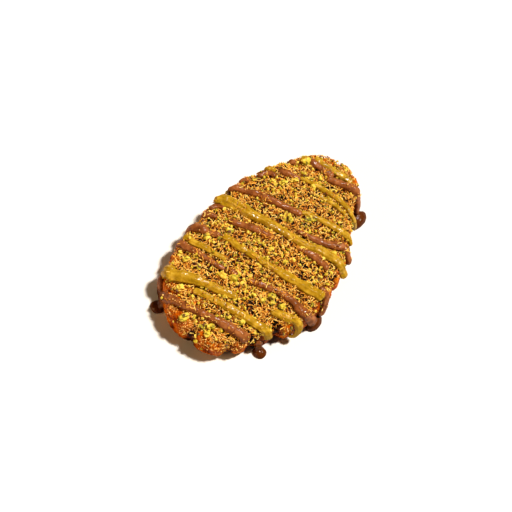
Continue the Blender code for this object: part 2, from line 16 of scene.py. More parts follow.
import bpy
import numpy as np
from mathutils import Euler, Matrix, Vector

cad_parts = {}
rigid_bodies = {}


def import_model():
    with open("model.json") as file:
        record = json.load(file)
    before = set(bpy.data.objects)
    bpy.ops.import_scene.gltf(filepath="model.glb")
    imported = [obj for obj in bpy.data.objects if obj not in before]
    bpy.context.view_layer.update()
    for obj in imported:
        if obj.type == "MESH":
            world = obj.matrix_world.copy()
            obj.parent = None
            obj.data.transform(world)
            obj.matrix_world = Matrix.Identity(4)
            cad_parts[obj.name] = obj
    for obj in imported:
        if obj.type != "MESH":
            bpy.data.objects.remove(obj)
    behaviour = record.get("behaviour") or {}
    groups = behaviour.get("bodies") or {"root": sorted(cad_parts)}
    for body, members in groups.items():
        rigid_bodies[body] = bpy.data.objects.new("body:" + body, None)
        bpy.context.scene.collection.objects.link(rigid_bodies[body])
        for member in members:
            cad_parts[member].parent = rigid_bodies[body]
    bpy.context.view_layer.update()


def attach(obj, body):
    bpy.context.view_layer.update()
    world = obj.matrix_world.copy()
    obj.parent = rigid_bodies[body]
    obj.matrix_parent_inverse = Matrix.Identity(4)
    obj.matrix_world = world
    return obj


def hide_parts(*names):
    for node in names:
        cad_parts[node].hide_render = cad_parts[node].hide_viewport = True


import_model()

log = logging.getLogger("croffle")

Array = np.ndarray
Knots = tuple[tuple[float, ...], ...]
Pair = tuple[float, float]
Triple = tuple[float, float, float]
Faces = list[tuple[int, ...]]
Layers = tuple[tuple[float, float, int, int], ...]
Stops = tuple[tuple[float, str], ...]
Lamp = tuple[Triple, float, str, float]
Object = bpy.types.Object
Mesh = bpy.types.Mesh
Material = bpy.types.Material
Tree = bpy.types.NodeTree
Socket = bpy.types.NodeSocket

MM = 0.001
NODE = "croffle"
BODY = "root"

# From the maker's layout to the row frame, in millimetres.
LAYOUT_SHIFT = (1.7177, 0.6688, -0.0238)

# Large odd numbers that scramble a lattice cell's place and seed, and a shift that keeps the
# places positive.
SCRAMBLE = (73856093, 19349663, 83492791, 2654435761, 2246822519, 3266489917)
LATTICE_SHIFT = 4096.0


# ------ numbers and fields


def srgb(code: str) -> tuple[float, float, float, float]:
    """Turn an sRGB hex colour into linear light.

    Args:
        code: Six hex digits.

    Returns:
        Red, green and blue in linear light, and a full alpha.
    """
    channels = [int(code[start : start + 2], 16) / 255 for start in (0, 2, 4)]
    linear = [c / 12.92 if c <= 0.04045 else ((c + 0.055) / 1.055) ** 2.4 for c in channels]
    return (*linear, 1.0)


def ramp(value: Array, low: float, high: float) -> Array:
    """Smooth step of an array from 0 at low to 1 at high."""
    share = np.clip((value - low) / (high - low), 0.0, 1.0)
    return share * share * (3 - 2 * share)


def lattice_noise(points: Array, cell: float, seed: int) -> Array:
    """Smooth value noise in space.

    Args:
        points: Places in millimetres, one row each.
        cell: Size of a lattice cell in millimetres.
        seed: Picks the pattern.

    Returns:
        One number from -1 to 1 for each place.
    """
    by_x, by_y, by_z, by_seed, first, second = SCRAMBLE
    scaled = points / cell + LATTICE_SHIFT
    corner = np.floor(scaled).astype(np.int64)
    share = scaled - corner
    share = share * share * (3 - 2 * share)
    total = np.zeros(len(points))
    for step in range(8):
        offset = np.array(((step >> 2) & 1, (step >> 1) & 1, step & 1))
        spot = corner + offset
        mixed = spot[:, 0] * by_x ^ spot[:, 1] * by_y ^ spot[:, 2] * by_z
        mixed = (mixed ^ seed * by_seed) & 0xFFFFFFFF
        mixed = ((mixed ^ (mixed >> 15)) * first) & 0xFFFFFFFF
        mixed = ((mixed ^ (mixed >> 13)) * second) & 0xFFFFFFFF
        value = (mixed ^ (mixed >> 16)) / 0x7FFFFFFF - 1.0
        total += value * np.where(offset, share, 1 - share).prod(axis=1)
    return total


def rough_noise(points: Array, cell: float, seed: int, octaves: int) -> Array:
    """Value noise with finer layers, each half the size and half the strength of the last.

    Args:
        points: Places in millimetres.
        cell: Size of the coarsest cell in millimetres.
        seed: Picks the pattern.
        octaves: Number of layers.

    Returns:
        One number, mostly from -1 to 1, for each place.
    """
    layers = [lattice_noise(points, cell / 2**k, seed + k) / 2**k for k in range(octaves)]
    return sum(layers) / 1.5


def relief(points: Array, layers: Layers) -> Array:
    """Height of an uneven surface, from noises over one another.

    Args:
        points: Places in millimetres.
        layers: Height and cell in millimetres, seed and octaves of each noise.

    Returns:
        One height for each place.
    """
    return sum(height * rough_noise(points, *layer) for height, *layer in layers)


def nearness(
    points: Array, spots: Knots, waver: Array, inner: float = 0.6, outer: float = 1.0
) -> Array:
    """How far places belong to round spots.

    Args:
        points: Places in millimetres.
        spots: Across, along and reach of each spot.
        waver: How far the edge of a spot wanders at each place.
        inner: Share of its reach up to which a spot is full.
        outer: Share of its reach past which there is none of it.

    Returns:
        One number from 0 to 1 for each place.
    """
    share = np.zeros(len(points))
    for across, along, reach in spots:
        gap = np.linalg.norm(points[:, :2] - (across, along), axis=1) + waver
        share = np.maximum(share, ramp(-gap, -outer * reach, -inner * reach))
    return share


def smooth_path(knots: Knots, per_span: int, closed: bool = False) -> Array:
    """Points of a Catmull-Rom curve through knots.

    Args:
        knots: The knots, all with the same number of coordinates.
        per_span: Points from one knot to the next.
        closed: Whether the curve returns to its first knot.

    Returns:
        The points, one row each.
    """
    rows = [np.array(knot, float) for knot in knots]
    if closed:
        padded = [rows[-1], *rows, rows[0], rows[1]]
    else:
        padded = [2 * rows[0] - rows[1], *rows, 2 * rows[-1] - rows[-2]]
    points = []
    for before, start, end, after in zip(padded, padded[1:], padded[2:], padded[3:]):
        for step in range(per_span):
            t = step / per_span
            bend = 2 * before - 5 * start + 4 * end - after
            twist = 3 * start - before - 3 * end + after
            points.append(start + 0.5 * t * (end - before + t * (bend + t * twist)))
    if not closed:
        points.append(rows[-1])
    return np.array(points)


def run_along(path: Array) -> Array:
    """Distance of each point of a path from its start."""
    return np.concatenate(([0.0], np.linalg.norm(np.diff(path, axis=0), axis=1).cumsum()))


def evenly_spaced(path: Array, step: float) -> Array:
    """The same path with points a nearly equal step apart.

    Args:
        path: Points, one row each.
        step: Wanted distance between neighbours.

    Returns:
        The new points.
    """
    run = run_along(path)
    count = max(int(round(run[-1] / step)), 2)
    wanted = np.linspace(0.0, run[-1], count + 1)
    return np.stack([np.interp(wanted, run, column) for column in path.T], axis=1)


# ------ meshes


def to_row(points: Array) -> Array:
    """Millimetres in the maker's layout as metres in the row frame."""
    return (np.asarray(points, float) - LAYOUT_SHIFT) * MM


def read(rows: bpy.types.bpy_prop_collection, key: str) -> Array:
    """Read a vector of every vertex of a mesh.

    Args:
        rows: The mesh's vertices or their normals.
        key: Blender's name for the vector.

    Returns:
        One row for each vertex.
    """
    flat = np.empty(len(rows) * 3)
    rows.foreach_get(key, flat)
    return flat.reshape(-1, 3)


def to_layout(mesh: Mesh) -> Array:
    """Vertices of a mesh as millimetres in the maker's layout."""
    return read(mesh.vertices, "co") / MM + LAYOUT_SHIFT


def vertex_normals(mesh: Mesh) -> Array:
    """Outward directions at the vertices of a mesh."""
    return read(mesh.vertex_normals, "vector")


def set_vertices(mesh: Mesh, points: Array) -> None:
    """Move the vertices of a mesh to places given in the maker's layout."""
    mesh.vertices.foreach_set("co", to_row(points).ravel())
    mesh.update()


def set_attributes(mesh: Mesh, **values: Array) -> None:
    """Store numbers at the vertices of a mesh.

    Args:
        mesh: The mesh.
        values: One number for each vertex, under each attribute's name.
    """
    for name, numbers in values.items():
        attribute = mesh.attributes.new(name, "FLOAT", "POINT")
        attribute.data.foreach_set("value", np.asarray(numbers, np.float32))


def put(name: str, data: bpy.types.ID | None) -> Object:
    """Make an object of some data at the origin.

    Args:
        name: Its name.
        data: Its mesh, lamp or camera.

    Returns:
        The object, linked to the scene.
    """
    thing = bpy.data.objects.new(name, data)
    bpy.context.scene.collection.objects.link(thing)
    return thing


def mesh_of(name: str, points: Array, faces: Faces) -> Mesh:
    """A mesh of points and faces.

    Args:
        name: Its name.
        points: Vertices in millimetres in the maker's layout.
        faces: Vertex numbers of each face, anticlockwise seen from outside.

    Returns:
        The mesh.
    """
    mesh = bpy.data.meshes.new(name)
    mesh.from_pydata(to_row(points).tolist(), [], faces)
    mesh.update()
    return mesh


def new_piece(name: str, points: Array, faces: Faces) -> Object:
    """A mesh object at the origin, of points and faces."""
    return put(name, mesh_of(name, points, faces))


def tube_faces(rings: int, sides: int, offset: int = 0) -> Faces:
    """Faces of a closed tube whose rings follow each other in the vertex list.

    Args:
        rings: Number of rings.
        sides: Vertices in each ring.
        offset: Number of the first vertex.

    Returns:
        Quads along the tube and one cap at each end.
    """
    faces = []
    for low in range(offset, offset + (rings - 1) * sides, sides):
        for side in range(sides):
            after = (side + 1) % sides
            faces.append((low + side, low + after, low + sides + after, low + sides + side))
    last = offset + (rings - 1) * sides
    faces.append(tuple(range(offset + sides - 1, offset - 1, -1)))
    faces.append(tuple(range(last, last + sides)))
    return faces


def turned(faces: Faces) -> Faces:
    """The same faces, seen from the other side."""
    return [tuple(reversed(face)) for face in faces]


def bake_modifiers(thing: Object) -> None:
    """Turn the evaluated result of an object's modifiers into its own plain mesh.

    Args:
        thing: The object, changed in place.
    """
    graph = bpy.context.evaluated_depsgraph_get()
    result = bpy.data.meshes.new_from_object(thing.evaluated_get(graph))
    old = thing.data
    thing.modifiers.clear()
    thing.data = result
    bpy.data.meshes.remove(old)


def remesh(thing: Object, voxel: float, smoothing: int) -> None:
    """Melt a piece's overlapping shells into one skin of even quads.

    Args:
        thing: The piece, changed in place.
        voxel: Size of a quad in millimetres.
        smoothing: Rounds of smoothing, each of which softens edges a little more.
    """
    skin = thing.modifiers.new("skin", "REMESH")
    skin.mode = "VOXEL"
    skin.voxel_size = voxel * MM
    soften = thing.modifiers.new("soften", "SMOOTH")
    soften.factor = 0.5
    soften.iterations = smoothing
    bake_modifiers(thing)


def discard(thing: Object) -> None:
    """Remove a helper object and its mesh.

    Args:
        thing: The object.
    """
    mesh = thing.data
    bpy.data.objects.remove(thing)
    bpy.data.meshes.remove(mesh)


def join(things: list[Object], name: str) -> Object:
    """One mesh object from several, which are removed.

    Args:
        things: Objects at the origin, with the same attributes.
        name: Name of the result.

    Returns:
        The new object.
    """
    first = things[0]
    with bpy.context.temp_override(
        active_object=first, selected_editable_objects=things, object=first
    ):
        bpy.ops.object.join()
    first.name = name
    return first


# ------ nodes and finishes


def add_node(
    tree: Tree,
    kind: str,
    settings: dict[str | int, object] | None = None,
    links: dict[str | int, Socket] | None = None,
) -> bpy.types.Node:
    """Add one node with its settings and its incoming links.

    Args:
        tree: Tree that gets the node.
        kind: Blender's name for the node's type.
        settings: Values by input name or number, or by the node's own property; stops are
            sRGB hex colours with their places on a ramp.
        links: Output sockets by input name or number.

    Returns:
        The node.
    """
    node = tree.nodes.new(kind)
    given = dict(settings or {})
    stops = given.pop("stops", ())
    own = [key for key in given if isinstance(key, str) and hasattr(node, key)]
    for key in own:
        setattr(node, key, given.pop(key))
    for key, value in given.items():
        node.inputs[key].default_value = value
    for index, (place, code) in enumerate(stops):
        elements = node.color_ramp.elements
        element = elements[index] if index < len(elements) else elements.new(place)
        element.position = place
        element.color = srgb(code)
    for key, source in (links or {}).items():
        tree.links.new(source, node.inputs[key])
    return node


@dataclass(frozen=True)
class Noise:
    """A random pattern in a finish.

    Attributes:
        width: Width of its patches in millimetres.
        detail: How many finer layers it has.
        roughness: How strong those are.
        share: How far it moves the shade.
        relief: Its height in millimetres.
    """

    width: float
    detail: float
    roughness: float = 0.5
    share: float = 0.0
    relief: float = 0.0


@dataclass(frozen=True)
class Finish:
    """What every finish shares: plain numbers on the shader, and a shade that picks the colour.

    Attributes:
        name: The material's common name and how its surface was made.
        roughness: Roughness of the surface.
        stops: Colours by their places on the scale of shades.
        noises: Its patterns. The first is the shade where no attribute is.
        ior: Index of refraction.
        specular: Strength of the mirror part, 0.5 for a clean surface and less for a dusty one.
        coat: Strength of a clear wet or sugary coat.
        coat_roughness: Roughness of that coat.
        shade: The piece's attribute that holds the shade.
        pooled_and_shaded: Colour where the piece's attribute pool is full, low down on the table:
            partly the
        darker colour of thick sauce, partly painted shade.
    """

    name: str
    roughness: float
    stops: Stops
    noises: tuple[Noise, ...]
    ior: float = 1.45
    specular: float = 0.5
    coat: float = 0.0
    coat_roughness: float = 0.2
    shade: str = ""
    pooled_and_shaded: str = ""

    def build(self) -> Material:
        """Make the material.

        Returns:
            The material, whose plain numbers stay unlinked.
        """
        material = bpy.data.materials.new(self.name)
        material.use_nodes = True
        tree = material.node_tree
        shader = tree.nodes["Principled BSDF"].inputs
        shader["Roughness"].default_value = self.roughness
        shader["Metallic"].default_value = 0.0
        shader["IOR"].default_value = self.ior
        shader["Specular IOR Level"].default_value = self.specular
        shader["Coat Weight"].default_value = self.coat
        shader["Coat Roughness"].default_value = self.coat_roughness
        math_node, attribute = "ShaderNodeMath", "ShaderNodeAttribute"
        place = add_node(tree, "ShaderNodeTexCoord").outputs["Object"]
        shade = None
        if self.shade:
            shade = add_node(tree, attribute, {"attribute_name": self.shade}).outputs["Fac"]
        for noise in self.noises:
            scale = 1 / (noise.width * MM)
            sizes = {"Scale": scale, "Detail": noise.detail, "Roughness": noise.roughness}
            node = add_node(tree, "ShaderNodeTexNoise", sizes, {"Vector": place})
            pattern = node.outputs["Fac"]
            if shade is None:
                shade = pattern
            if noise.share:
                centred = {"operation": "MULTIPLY_ADD", 1: noise.share, 2: -noise.share / 2}
                uneven = add_node(tree, math_node, centred, {0: pattern}).outputs[0]
                total = add_node(tree, math_node, {"operation": "ADD"}, {0: shade, 1: uneven})
                shade = total.outputs[0]
            if noise.relief:
                height = {"Distance": noise.relief * MM}
                bump = add_node(tree, "ShaderNodeBump", height, {"Height": pattern})
                tree.links.new(bump.outputs["Normal"], shader["Normal"])
        colour = add_node(tree, "ShaderNodeValToRGB", {"stops": self.stops}, {0: shade}).outputs[0]
        # Low down the colour turns to the pooled one: partly thick sauce, partly painted shade.
        if self.pooled_and_shaded:
            pool = add_node(tree, attribute, {"attribute_name": "pool"}).outputs["Fac"]
            settings = {"data_type": "RGBA", 7: srgb(self.pooled_and_shaded)}
            colour = add_node(tree, "ShaderNodeMix", settings, {0: pool, 6: colour}).outputs[2]
        tree.links.new(colour, shader["Base Color"])
        return material


@dataclass(frozen=True)
class BakedCrust(Finish):
    """Croissant crust, rolled in sugar and pressed in a waffle iron.

    The sugar melts to a thin, uneven caramel glaze: red-brown where it ran thick and burnt,
    golden where the iron only touched it, with grains that glint. Its darkest colour, in the
    pockets, the notches and the pits between the grains, is painted shade.
    """

    name: str = "baked_sugared_crust"
    roughness: float = 0.4
    ior: float = 1.48
    specular: float = 0.0
    coat: float = 0.12
    coat_roughness: float = 0.14
    shade: str = "toast"
    # From where the iron only touched the dough, over melted and browned sugar, to the near black
    # of the painted shade in pockets and notches.
    stops: Stops = ((0.0, "D4801A"), (0.34, "C65E06"), (0.72, "762C02"), (1.0, "200900"))
    # Browned patches, which the eye reads as an uneven bake, then clumps of sugar grains about
    # two millimetres wide: rough, with the pits between them painted darker as shade.
    noises: tuple[Noise, ...] = (
        Noise(6.0, 5.0, 0.6, share=1.5),
        Noise(1.8, 4.0, 0.6, share=-1.3, relief=2.6),
    )


@dataclass(frozen=True)
class ToastedShadedBed(Finish):
    """Matted, browned filo under the loose threads, dark and matt, with oily brown hollows.

    Its near-black colour, darkest in the hollows, is painted shade in the gaps between the threads.
    """

    name: str = "toasted_filo_bed"
    roughness: float = 0.75
    specular: float = 0.15
    # From the near black of the painted shade in the hollows, over the flanks, to the tops of
    # the strands.
    stops: Stops = ((0.38, "0A0300"), (0.54, "220D02"), (0.7, "522804"))
    # Clumps about as wide as two threads. The same noise gives their bump and their colour, so
    # their hollows are painted darker as shade, which shows through the cover.
    noises: tuple[Noise, ...] = (Noise(1.3, 5.0, 0.55, relief=0.9),)


@dataclass(frozen=True)
class FiloThread(Finish):
    """Shredded filo, fried in butter: crisp threads with a faint oily gloss."""

    name: str = "pale_filo_thread"
    roughness: float = 0.5
    ior: float = 1.46
    specular: float = 0.16
    shade: str = "tone"
    # From the brownest threads to the palest.
    stops: Stops = ((0.05, "A85E0E"), (0.45, "F0AE3A"), (0.9, "FFE07A"))
    # A thread browns unevenly, so its shade changes along its length.
    noises: tuple[Noise, ...] = (Noise(1.2, 2.0, share=0.5),)


@dataclass(frozen=True)
class Sauce(Finish):
    """A thick, poured sauce: an even body, paler where it is thin, under a wet gloss."""

    name: str = "milk_chocolate_sauce"
    roughness: float = 0.42
    ior: float = 1.46
    specular: float = 0.0
    coat: float = 0.26
    coat_roughness: float = 0.15
    # From where it lies thick, over most of it, to where it is thin.
    stops: Stops = ((0.3, "5E3216"), (0.52, "824C26"), (0.72, "9A6236"))
    # Low down, on the table: partly the colour of thick sauce, partly painted shade.
    pooled_and_shaded: str = "4C2408"
    # Streaks where it was stirred, then ripples from the spout and from crumbs under the skin,
    # which break up the gloss.
    noises: tuple[Noise, ...] = (Noise(4.0, 3.0), Noise(2.6, 3.0, relief=0.9))


@dataclass(frozen=True)
class Pistachio(Finish):
    """Chopped pistachio: waxy green to yellow flesh, dusty on the cuts, with purple-brown skin."""

    name: str = "chopped_pistachio"
    roughness: float = 0.55
    specular: float = 0.3
    shade: str = "tone"
    # From the thin skin, over the green under it, to the palest cuts.
    stops: Stops = ((0.0, "5C2E1E"), (0.1, "6C740A"), (0.36, "BEA81A"), (0.85, "E2C84E"))
    # Cut faces, each with its own shade of flesh or skin, then pits left by the knife, which
    # keep the bits from looking polished.
    noises: tuple[Noise, ...] = (Noise(2.0, 3.0, share=2.6), Noise(0.9, 4.0, relief=0.5))


# ------ the layout


@dataclass
class Layout:
    """Plan and height of the croffle, which every piece follows.

    Attributes:
        knots: Plan of the pressed dough, clockwise from the far end.
        crown_height: Height of the dressed surface in the middle.
        fall_across: How much lower it is at the sides.
        fall_along: How much lower it is at the ends.
        half_width: Where the fall across is complete.
        half_length: Where the fall along is complete.
        rounding: Width of the rim's rounding.
        power: How square that rounding is.
        slope_start: Where along the croffle the rounding starts to widen to the near end.
        slope_run: How far on it is widest.
        slope_times: How many times wider it gets.
        cell: Spacing of the grid that keeps distances from the rim.
        reach: Half the grid's width and length.
        probe: How far apart the slope of the distances is read.
        outline: The plan as a fine ring of points.
        grid: Distances from the rim, negative outside it.
    """

    knots: Knots = (
        (0.0, 81.5), (13.0, 79.5), (22.0, 71.5), (26.5, 59.0), (34.0, 43.5), (42.5, 25.5),
        (47.5, 5.0), (47.8, -15.0), (46.0, -31.0), (39.5, -44.0), (30.5, -57.5), (21.5, -70.5),
        (9.5, -79.0), (-8.0, -79.8), (-21.5, -77.0), (-32.0, -68.0), (-41.5, -56.0),
        (-46.3, -40.0), (-48.6, -16.0), (-48.2, 5.0), (-43.8, 27.5), (-36.2, 46.5),
        (-27.2, 62.5), (-15.5, 76.5),
    )  # fmt: skip
    crown_height: float = 23.0
    fall_across: float = 4.2
    fall_along: float = 2.6
    half_width: float = 48.0
    half_length: float = 80.0
    rounding: float = 4.4
    power: float = 2.6
    slope_start: float = -52.0
    slope_run: float = 26.0
    slope_times: float = 1.6
    cell: float = 0.5
    reach: Pair = (62.0, 94.0)
    probe: float = 0.8
    outline: Array = field(init=False)
    grid: Array = field(init=False)

    def __post_init__(self) -> None:
        """Work out the outline and the grid of distances."""
        self.outline = smooth_path(self.knots, 8, closed=True)
        xs = np.arange(-self.reach[0], self.reach[0] + self.cell / 2, self.cell)
        ys = np.arange(-self.reach[1], self.reach[1] + self.cell / 2, self.cell)
        x, y = np.meshgrid(xs, ys, indexing="ij")
        points = np.stack((x.ravel(), y.ravel()), axis=1)
        nearest = np.full(len(points), np.inf)
        inside = np.zeros(len(points), bool)
        for start, end in zip(self.outline, np.roll(self.outline, -1, axis=0)):
            span = end - start
            share = np.clip((points - start) @ span / (span @ span), 0, 1)
            gap = np.linalg.norm(start + share[:, None] * span - points, axis=1)
            nearest = np.minimum(nearest, gap)
            straddles = (start[1] > points[:, 1]) != (end[1] > points[:, 1])
            rise = span[1] if abs(span[1]) > 1e-9 else 1e-9
            crossing = start[0] + span[0] * (points[:, 1] - start[1]) / rise
            inside ^= straddles & (crossing > points[:, 0])
        self.grid = np.where(inside, nearest, -nearest).reshape(x.shape)

    def depth(self, x: Array, y: Array) -> Array:
        """How far inside the outline places are, negative outside it.

        Args:
            x: Places across, in millimetres.
            y: Places along.

        Returns:
            Distances in millimetres.
        """
        u = np.clip((np.asarray(x) + self.reach[0]) / self.cell, 0, self.grid.shape[0] - 1.001)
        v = np.clip((np.asarray(y) + self.reach[1]) / self.cell, 0, self.grid.shape[1] - 1.001)
        i, j = u.astype(int), v.astype(int)
        a, b = u - i, v - j
        near = self.grid[i, j] * (1 - a) + self.grid[i + 1, j] * a
        far = self.grid[i, j + 1] * (1 - a) + self.grid[i + 1, j + 1] * a
        return near * (1 - b) + far * b

    def dome(self, x: Array, y: Array) -> Array:
        """Height of the low dome away from the rim."""
        fall = self.fall_across * (np.asarray(x) / self.half_width) ** 2
        return self.crown_height - fall - self.fall_along * (np.asarray(y) / self.half_length) ** 2

    def spread(self, y: Array) -> Array:
        """How much wider the rim's rounding is than at the sides."""
        share = np.clip((self.slope_start - np.asarray(y)) / self.slope_run, 0, 1)
        return 1 + self.slope_times * share

    def crown(self, x: Array, y: Array) -> Array:
        """Height of the dressed surface, which rounds down at the rim to the table."""
        share = np.clip(self.depth(x, y) / (self.rounding * self.spread(y)), 0, 1)
        return self.dome(x, y) * (1 - (1 - share) ** self.power) ** (1 / self.power)

    def outward(self, x: Array, y: Array) -> Array:
        """Level directions away from the middle of the croffle, square to the rim.

        Args:
            x: Places across, in millimetres.
            y: Places along.

        Returns:
            Unit vectors of two coordinates.
        """
        step = self.probe
        along_x = self.depth(x - step, y) - self.depth(x + step, y)
        along_y = self.depth(x, y - step) - self.depth(x, y + step)
        both = np.stack((along_x, along_y), axis=-1)
        return both / np.maximum(np.linalg.norm(both, axis=-1, keepdims=True), 1e-9)

    def normal(self, x: Array, y: Array) -> Array:
        """Outward directions of the dressed surface: up on top, level past the rim.

        Args:
            x: Places across, in millimetres.
            y: Places along.

        Returns:
            Unit vectors.
        """
        lift = np.clip(self.depth(x, y) / self.rounding, 0.05, 1.0)
        side = self.outward(x, y) * np.sqrt(1 - lift**2)[..., None]
        return np.concatenate((side, lift[..., None]), axis=-1)


# ------ the dough


@dataclass
class Dough:
    """Croissant dough pressed in a waffle iron.

    Attributes:
        layout: Plan and height.
        pitch: Spacing of the iron's studs.
        mouth: Width of a pocket where it opens.
        floor: Width of a pocket where it ends.
        unevenness: How far a stud is out of line.
        web: Lowest and highest level of the thin web between the pockets.
        band: How far inside the rim the top still has pockets.
        pocket_margin: Least distance of a pocket from the rim.
        columns: Columns of studs on either side of the middle.
        rows: Rows of studs on either side of the middle.
        overshoot: How far a stud reaches out of the dough.
        unpressed: Place across and along past which the near left corner left the iron.
        near_notches: Across, along, depth and width of the notches at the near end.
        notch_pitch: Spacing of the other notches.
        notch_clearance: How far those stay from the near ones.
        notch_depths: Their smallest and largest depth.
        notch_widths: Their smallest and largest width.
        notch_flare: How much wider the outline draws in than a notch.
        notch_power: How sharply it does.
        notch_edge: How far a notch runs on past its depth, and how soft its sides are.
        web_share: How much of that the web of the rim closes again.
        web_level: Middle and height of that web as shares of the rim.
        fine_span: Points of the plan from one knot to the next.
        below_crown: How far the bare dough lies under the dressed surface.
        section: Level and inset of the rim's section, from the table up.
        patches: Across, along, reach and added darkness of places that differ from the rest; some
        are painted shade and light, as noted at the list.
        bare_spots: Across, along and reach of places where the crust shows.
        puffs: Blisters of the crust.
        flake: How much flatter than wide the layers of the dough are.
        flakes: Edges of those layers.
        grit: Height of the sugar grains, and how much more there is where the dough is torn.
        pressed: Share of all that relief on the underside, and how high up it is complete.
        baking_and_shade: Shade of a lobe, and what a pocket, a face that turns sideways and down, a
            notch and chance add to it; the pocket and notch parts are painted shade.
        recess_shade: From and to what distance inside the rim a pocket is painted darker as shade,
            and how far it lies under the top.
        voxel: Size of a quad of the skin.
        smoothing: Rounds of smoothing of the skin.
        seed: Picks the unevenness of the studs.
        notch_seed: Picks the notches.
    """

    layout: Layout
    pitch: float = 12.0
    mouth: float = 7.48
    floor: float = 4.4
    unevenness: float = 0.35
    web: Pair = (8.4, 12.4)
    band: float = 11.0
    pocket_margin: float = 5.2
    columns: int = 5
    rows: int = 7
    overshoot: float = 1.0
    unpressed: Pair = (-2.0, -58.0)
    near_notches: Knots = (
        (-3.5, -80.0, 3.2, 3.4), (20.0, -73.0, 4.8, 3.4), (28.5, -61.0, 3.8, 3.8),
        (37.0, -47.5, 6.6, 4.4), (45.0, -34.5, 3.4, 3.8),
    )  # fmt: skip
    notch_pitch: float = 12.6
    notch_clearance: float = 8.0
    notch_depths: Pair = (2.2, 4.0)
    notch_widths: Pair = (2.6, 3.8)
    notch_flare: float = 1.55
    notch_power: float = 1.5
    notch_edge: Pair = (1.0, 1.2)
    web_share: float = 0.55
    web_level: Pair = (0.48, 0.12)
    fine_span: int = 26
    below_crown: float = 1.2
    section: Knots = (
        (0.0, 2.8), (0.06, 1.5), (0.18, 0.45), (0.34, 0.0), (0.5, -0.1), (0.66, 0.1),
        (0.8, 0.6), (0.9, 1.3), (0.97, 2.3), (1.0, 3.6),
    )  # fmt: skip
    # Most patches are uneven browning. The dark one at (-3.5, -81) is painted shade in a notch, and
    # the one at (-18, -80), between the near lobes, is partly browning and partly painted shade.
    # The pale one at (-34, -72) is partly a less baked corner and partly painted light on the near
    # left wall, which lies in shade.
    patches: Knots = (
        (40.5, -42.5, 7.5, -0.2), (31.0, -55.5, 7.0, 0.26), (22.5, -68.5, 5.5, -0.1),
        (15.5, -80.0, 5.0, -0.12), (-3.5, -81.0, 6.0, 0.3), (-34.0, -72.0, 13.0, -0.2),
        (-18.0, -80.0, 6.0, 0.1),
        (45.5, 3.0, 7.0, -0.2), (-40.0, -45.0, 6.0, -0.18), (-44.0, -11.0, 6.0, -0.18),
    )  # fmt: skip
    bare_spots: Knots = (
        (48.0, 2.0, 6.5), (-47.5, -11.2, 5.5), (-43.5, -46.0, 6.0), (0.0, 83.0, 8.0),
        (11.0, 81.0, 8.0), (19.5, 75.0, 6.5), (-34.0, -74.0, 15.0), (-22.0, -80.0, 13.5),
        (-10.0, -82.0, 11.5), (42.5, -43.5, 7.0), (33.0, -58.5, 5.5), (23.0, -70.0, 5.0),
    )  # fmt: skip
    puffs: Layers = ((0.55, 11.0, 3, 2), (0.45, 4.4, 5, 3))
    flake: Triple = (1.0, 1.0, 3.2)
    flakes: Layers = ((0.3, 3.0, 9, 2),)
    grit: Pair = (0.55, 0.6)
    pressed: Pair = (0.25, 2.0)
    baking_and_shade: tuple[float, ...] = (0.36, 0.3, 0.06, 0.34, 0.3)
    recess_shade: Triple = (1.2, 4.5, 4.0)
    voxel: float = 0.78
    smoothing: int = 3
    seed: int = 46
    notch_seed: int = 7

    def left_iron(self, x: Array, y: Array) -> Array:
        """Whether places are in the near left corner, which left the iron."""
        return (x < self.unpressed[0]) & (y < self.unpressed[1])

    def rim_height(self, x: Array, y: Array) -> Array:
        """Top of the bare dough."""
        return self.layout.dome(x, y) - self.below_crown

    def bare(self, points: Array) -> Array:
        """How far the crust shows instead of the bed, from 0 to 1.

        Args:
            points: Places in millimetres.

        Returns:
            One number for each place.
        """
        rim = ramp(-self.layout.depth(*points.T[:2]), -6.0, -3.5)
        rim = np.where(self.left_iron(*points.T[:2]), 1.0, rim)
        return nearness(points, self.bare_spots, relief(points, ((1.5, 5.0, 79, 2),))) * rim

    def notch_places(self) -> list[tuple[float, ...]]:
        """Every notch of the rim.

        Returns:
            Place across and along, depth and width of each.
        """
        random = np.random.default_rng(self.notch_seed)
        coarse = self.layout.outline[::4]
        ring = evenly_spaced(np.vstack((coarse, coarse[:1])), self.notch_pitch)[:-1]
        places = list(self.near_notches)
        for spot in ring:
            depth = random.uniform(*self.notch_depths)
            width = random.uniform(*self.notch_widths)
            gaps = [math.dist(spot, placed[:2]) for placed in self.near_notches]
            if min(gaps) > self.notch_clearance and not self.left_iron(*spot):
                places.append((*spot, depth, width))
        return places

    def parting(self, plan: Array) -> Array:
        """How far the notches draw the outline in, which leaves round lobes between them.

        Args:
            plan: Places on the outline.

        Returns:
            A depth in millimetres for each place.
        """
        inset = np.zeros(len(plan))
        for x, y, depth, width in self.notch_places():
            gap = np.linalg.norm(plan - (x, y), axis=1) / (width * self.notch_flare)
            inset = np.maximum(inset, depth * np.clip(1 - gap, 0, 1) ** self.notch_power)
        return inset

    def gap(self, points: Array) -> Array:
        """How far places lie in a notch of the rim.

        Args:
            points: Places in millimetres.

        Returns:
            0 beside a notch to 1 in its middle, for each place.
        """
        share = np.zeros(len(points))
        past, soft = self.notch_edge
        for x, y, depth, width in self.notch_places():
            inward = -self.layout.outward(np.array([x]), np.array([y]))[0]
            offset = points[:, :2] - (x, y)
            along = offset @ inward
            aside = np.abs(offset @ np.array((-inward[1], inward[0])))
            reach = width * (1 - np.clip(along / (depth + past), 0, 1) ** 2)
            share = np.maximum(share, ramp(reach - aside, 0, soft) * (along < depth + past))
        return share

